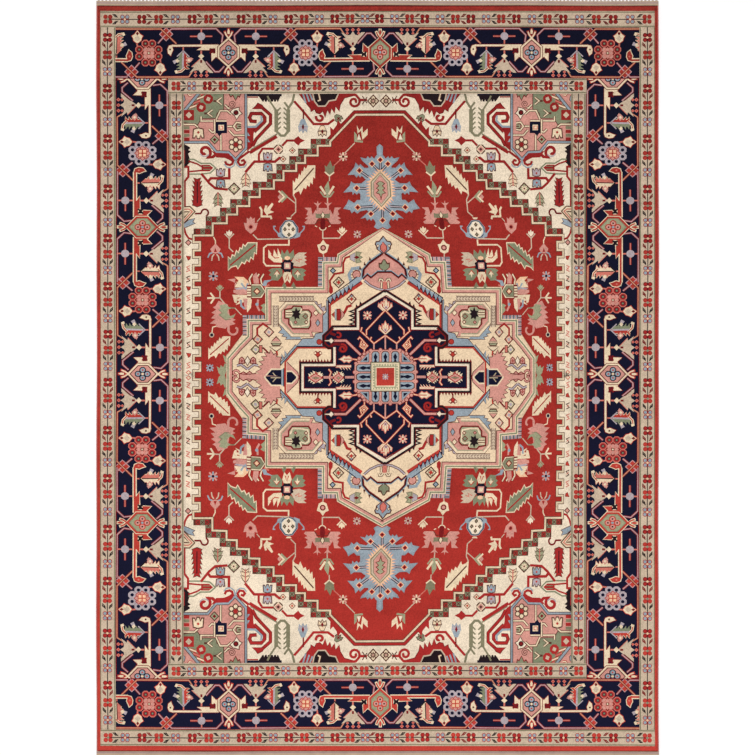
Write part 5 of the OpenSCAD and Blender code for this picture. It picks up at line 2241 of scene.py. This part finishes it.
@dataclass
class Pile:
    """All the knotted pile: stripes, guards, border, corners, field, pendants, medallion and heart."""

    ends: tuple[str, ...] = ("top", "bottom")
    sides: tuple[str, ...] = ("left", "right")

    def pieces(self) -> list[PilePiece]:
        """Lay out every piece of pile."""
        bands = border_bands()
        plans = []
        kinds = (
            ("edge_stripe", SCARLET, "red_pile"),
            ("outer_guard", BEIGE, "beige_pile"),
            ("main_border", NAVY, "navy_pile"),
            ("inner_guard", BEIGE, "beige_pile"),
        )
        for kind, ground, slot in kinds:
            for place in self.ends + self.sides:
                node = f"{kind}_{place}"
                plans.append(PilePiece(node, node_rect(node), bands, ground, slot))
        edge = field_edge()
        corner = spandrel()
        corners = {
            "spandrel_top_left": lambda p: p,
            "spandrel_top_right": to_right,
            "spandrel_bottom_left": to_foot,
            "spandrel_bottom_right": lambda p: to_right(to_foot(p)),
        }
        low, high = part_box("spandrel_top_left")
        left_u, top_v = low[0] / SQUARE, high[1] / SQUARE
        outline = [(axis_at(top_v), top_v), (left_u, top_v), (left_u, middle_at(left_u))] + edge[::-1]
        outline.append((axis_at(edge[0][1]), edge[0][1]))
        for name, change in corners.items():
            shape = [change(p) for p in dense(outline, 6.0)]
            plans.append(PilePiece(name, shape, corner.moved(change), IVORY, "ivory_pile"))
        ground = field_cartoon()
        hanging = pendant_edge()
        foot = [to_foot(p) for p in hanging]
        stepped = four(medallion_edge())
        heart = four(heart_edge())
        plans.append(PilePiece("field", four(edge), ground, RED, "red_pile", [hanging, foot, stepped]))
        plans.append(PilePiece("pendant_top", hanging, pendant_cartoon(), BLUE, "blue_pile"))
        plans.append(PilePiece("pendant_bottom", foot, pendant_cartoon().moved(to_foot), BLUE, "blue_pile"))
        plans.append(PilePiece("medallion", stepped, medallion_cartoon(), TAN, "tan_pile", [heart]))
        plans.append(PilePiece("medallion_heart", heart, heart_cartoon(), NAVY, "navy_pile"))
        return plans

    def build(self) -> list[bpy.types.Object]:
        """Build every piece of pile and put it in its node's place."""
        wools = {yarn: PileWool(yarn, fade=0.15 if yarn in DEEP else 0.02).material() for yarn in Yarn}
        made = []
        for plan in self.pieces():
            low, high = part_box(plan.name)
            node = plan.name
            plan.name = f"{node}_pile"
            piece = plan.build(wools, high[2], low[2])
            made.append(seat(piece, node, plan.slot))
        return made


@dataclass
class Selvedges:
    """The cords along both sides, overcast with wool."""

    turn: float = 0.0065  # metres from one wrap to the next
    rings: int = 4  # rings to each wrap
    sides: int = 9  # points round the cord's open face
    relief: float = 0.0007  # how far a wrap stands proud

    def build(self) -> list[bpy.types.Object]:
        """Build both cords."""
        finish = SpunYarn("overcast_wool", (186, 92, 84)).material()
        return [self.cord(f"selvedge_{side}", sign, finish) for side, sign in (("left", -1), ("right", 1))]

    def cord(self, node: str, sign: int, finish: bpy.types.Material) -> bpy.types.Object:
        """Build one cord.

        Args:
            node: The CAD node that it stands for.
            sign: -1 on the left, 1 on the right.
            finish: Its material.

        Returns:
            The cord, a closed solid.
        """
        low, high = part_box(node)
        inner = high[0] if sign < 0 else low[0]
        width = high[0] - low[0]
        middle = (low[2] + high[2]) / 2
        half = (high[2] - low[2]) / 2
        count = round((high[1] - low[1]) / self.turn) * self.rings
        verts = []
        for k in range(count + 1):
            y = low[1] + (high[1] - low[1]) * k / count
            for j in range(self.sides):
                angle = math.pi * (j / (self.sides - 1) - 0.5)
                wrap = math.sin(2 * math.pi * (k / self.rings + 0.25 * j / self.sides))
                proud = 1 - (self.relief / half) * (0.5 - 0.5 * wrap)
                x = inner + sign * width * math.cos(angle) * proud
                z = middle + half * math.sin(angle) * proud
                dx, dy, dz = wander(x, y)
                verts.append((x + dx, y + dy, max(0.0, z + dz * 0.5)))
        faces = []
        for k in range(count):
            for j in range(self.sides):
                a, b = k * self.sides + j, k * self.sides + (j + 1) % self.sides
                face = (a, b, b + self.sides, a + self.sides)
                faces.append(face if sign > 0 else face[::-1])
        ends = [tuple(range(self.sides)), tuple(range(count * self.sides, (count + 1) * self.sides))]
        faces += [ends[0][::-1], ends[1]] if sign > 0 else [ends[0], ends[1][::-1]]
        return seat(make_object(f"{node}_cord", verts, faces, [finish]), node, "selvedge_wool")


@dataclass
class KilimEnds:
    """The flat-woven ends that stop the pile from unravelling."""

    warp_pitch: float = 0.006
    weft_pitch: float = 0.003
    relief: float = 0.0006

    def build(self) -> list[bpy.types.Object]:
        """Build both ends."""
        finishes = [
            SpunYarn("kilim_sand", (186, 162, 138)).material(),
            SpunYarn("kilim_mauve", (166, 140, 138)).material(),
        ]
        return [self.end(f"kilim_end_{place}", finishes) for place in ("top", "bottom")]

    def end(self, node: str, finishes: list[bpy.types.Material]) -> bpy.types.Object:
        """Build one flat-woven end.

        Args:
            node: The CAD node that it stands for.
            finishes: Its materials: the ground and the stripe.

        Returns:
            The end, a closed solid.
        """
        low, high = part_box(node)
        columns = 2 * round((high[0] - low[0]) / self.warp_pitch)
        rows = 2 * round((high[1] - low[1]) / self.weft_pitch)

        def surface(i: int, j: int, dz: float) -> float:
            """Return the height of the ribbed face at one crossing of warp and weft."""
            rib = self.relief * ((i + j) % 2)
            return high[2] - 2 * self.relief + rib + dz * 0.5

        verts, faces = woven_slab(low, high, columns, rows, surface)
        stripe = range(rows // 2, rows // 2 + 4)
        picks = [pick for _ in range(columns) for j in range(rows) for pick in (int(j in stripe), 0)]
        picks += [0] * (len(faces) - len(picks))
        return seat(make_object(f"{node}_weave", verts, faces, finishes, picks), node, "kilim_weave")


@dataclass
class Fringes:
    """Knotted warp ends, a tassel every few centimetres."""

    pitch: float = 0.018
    strands: int = 7
    points: int = 7
    sides: int = 5
    strand: float = 0.0011  # radius of one strand, in metres
    knot: float = 0.0030  # radius of a knot
    seed: int = 11

    def build(self) -> list[bpy.types.Object]:
        """Build both fringes."""
        finish = SpunYarn("fringe_cotton", (214, 198, 186), ply=0.0011, uneven=0.3).material()
        chance = random.Random(self.seed)
        return [
            self.fringe(f"fringe_{place}", sign, finish, chance)
            for place, sign in (("top", 1), ("bottom", -1))
        ]

    def tube(self, line: list[Vector], radii: list[float], verts: list, faces: list) -> None:
        """Add a closed round tube along a line that runs roughly along y.

        Args:
            line: Points of its middle.
            radii: Its radius at each point.
            verts: Vertices so far, added to.
            faces: Faces so far, added to.
        """
        first = len(verts)
        for centre, radius in zip(line, radii):
            for j in range(self.sides):
                angle = 2 * math.pi * j / self.sides
                verts.append((
                    centre.x + radius * math.cos(angle), centre.y, centre.z + radius * math.sin(angle),
                ))
        forward = line[-1].y > line[0].y
        for k in range(len(line) - 1):
            for j in range(self.sides):
                a = first + k * self.sides + j
                b = first + k * self.sides + (j + 1) % self.sides
                face = (a, a + self.sides, b + self.sides, b)
                faces.append(face if forward else face[::-1])
        near = tuple(first + j for j in range(self.sides))
        far = tuple(first + (len(line) - 1) * self.sides + j for j in range(self.sides))
        faces += [near, far[::-1]] if forward else [near[::-1], far]

    def fringe(
        self, node: str, sign: int, finish: bpy.types.Material, chance: random.Random,
    ) -> bpy.types.Object:
        """Build one fringe.

        Args:
            node: The CAD node that it stands for.
            sign: 1 at the top, -1 at the bottom.
            finish: Its material.
            chance: Source of the small differences between strands.

        Returns:
            The fringe.
        """
        low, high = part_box(node)
        start = low[1] if sign > 0 else high[1]
        length = high[1] - low[1]
        count = math.floor((high[0] - low[0]) / self.pitch) + 1
        verts: list[Corner] = []
        faces: list[Face] = []
        for i in range(count):
            middle = (low[0] + high[0]) / 2 + (i - (count - 1) / 2) * self.pitch
            lean = chance.uniform(-0.006, 0.006)
            tie = chance.uniform(0.007, 0.011)
            knot_line = []
            knot_radii = []
            for k in range(5):
                share = k / 4
                knot_line.append(Vector((
                    middle + lean * 0.1, start + sign * (tie - 0.004 + 0.008 * share), self.knot,
                )))
                knot_radii.append(self.knot * (0.45 + 0.55 * math.sin(math.pi * share)))
            self.tube(knot_line, knot_radii, verts, faces)
            for s in range(self.strands):
                spread = (s / (self.strands - 1) - 0.5) * 2
                side = chance.uniform(-0.0015, 0.0015)
                curl = chance.uniform(-0.0022, 0.0022)
                reach = length * chance.uniform(0.84, 0.99)
                height = self.strand + (self.strand * 1.4 if s % 2 else 0)
                line = []
                for k in range(self.points):
                    share = k / (self.points - 1)
                    out = reach * share
                    drawn_in = min(abs(out - tie) / 0.012, 1.0)
                    x = middle + spread * (0.0016 + 0.0040 * drawn_in) + lean * share * share
                    x += side * share + curl * math.sin(math.pi * 1.6 * share)
                    line.append(Vector((x, start + sign * out, height)))
                radii = [self.strand * (1 - 0.35 * k / (self.points - 1)) for k in range(self.points)]
                self.tube(line, radii, verts, faces)
        return seat(make_object(f"{node}_tassels", verts, faces, [finish]), node, "fringe_cotton")


@dataclass
class Foundation:
    """The woven ground of warp and weft that carries every knot."""

    pitch: float = 0.030  # metres from one corner of the mesh to the next
    clearance: float = 0.0002

    def build(self, carried: list[bpy.types.Object]) -> bpy.types.Object:
        """Args:
            carried: The pieces worked on it or sewn to it. Not used.

        Returns:
            The ground, a closed thin sheet.
        """
        low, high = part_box("foundation")
        columns = round((high[0] - low[0]) / self.pitch)
        rows = round((high[1] - low[1]) / self.pitch)
        verts, faces = woven_slab(low, high, columns, rows, lambda i, j, dz: high[2] - self.clearance)
        finish = SpunYarn("foundation_cotton", (216, 204, 186)).material()
        obj = seat(
            make_object("foundation_weave", verts, faces, [finish]), "foundation", "foundation_cotton",
        )
        return obj


@dataclass
class Studio:
    """Pale floor, soft light and a camera that looks straight down."""

    floor_size: float = 40.0
    floor_grey: float = 1.0
    sky: float = 0.645
    softbox: float = 5.0
    softbox_height: float = 6.0
    softbox_power: float = 212.0
    lens: float = 85.0
    sensor: float = 36.0
    view_width: float = 3.675  # metres of rug across the view
    aim: tuple[float, float] = (-0.0005, 0.0039)

    def camera(self) -> None:
        """Hang the camera over the rug."""
        data = bpy.data.cameras.new("camera")
        data.lens = self.lens
        data.sensor_width = self.sensor
        data.clip_end = 200.0
        camera = bpy.data.objects.new("camera", data)
        height = self.view_width * self.lens / self.sensor
        camera.location = (self.aim[0], self.aim[1], cad_box[1][2] + height)
        bpy.context.scene.collection.objects.link(camera)
        bpy.context.scene.camera = camera

    def floor(self) -> None:
        """Lay the floor."""
        half = self.floor_size / 2
        corners = [
            (-half, -half, -0.0005), (half, -half, -0.0005), (half, half, -0.0005), (-half, half, -0.0005),
        ]
        finish = Finish("floor_white", roughness=0.9)
        grey = self.floor_grey
        place = finish.node("TexCoord", output="Object")
        shade = 1.0 + (finish.noise(place, 0.6, 2) - 0.5) * 0.02
        floor = make_object(
            "floor", corners, [(0, 1, 2, 3)], [finish.done(finish.tone((grey, grey, grey, 1), shade))],
        )

    def light(self) -> None:
        """Light the rug softly from above."""
        world = bpy.data.worlds.new("sky")
        world.use_nodes = True
        world.node_tree.nodes["Background"].inputs["Color"].default_value = (1, 1, 1, 1)
        world.node_tree.nodes["Background"].inputs["Strength"].default_value = self.sky
        bpy.context.scene.world = world
        data = bpy.data.lights.new("softbox", "AREA")
        data.shape = "SQUARE"
        data.size = self.softbox
        data.energy = self.softbox_power
        lamp = bpy.data.objects.new("softbox", data)
        lamp.location = (-0.4, -0.2, self.softbox_height)
        lamp.rotation_euler = (Vector(lamp.location)).to_track_quat("Z", "Y").to_euler()
        bpy.context.scene.collection.objects.link(lamp)
        bpy.context.scene.view_settings.view_transform = "Standard"


def main() -> None:
    """Build the rug piece by piece, lay it on the floor and light it."""
    logging.basicConfig(level=logging.INFO, format="%(name)s: %(message)s")
    studio = Studio()
    studio.camera()
    carried = Pile().build() + Selvedges().build() + KilimEnds().build() + Fringes().build()
    Foundation().build(carried)
    studio.floor()
    studio.light()


if __name__ == "__main__":
    main()
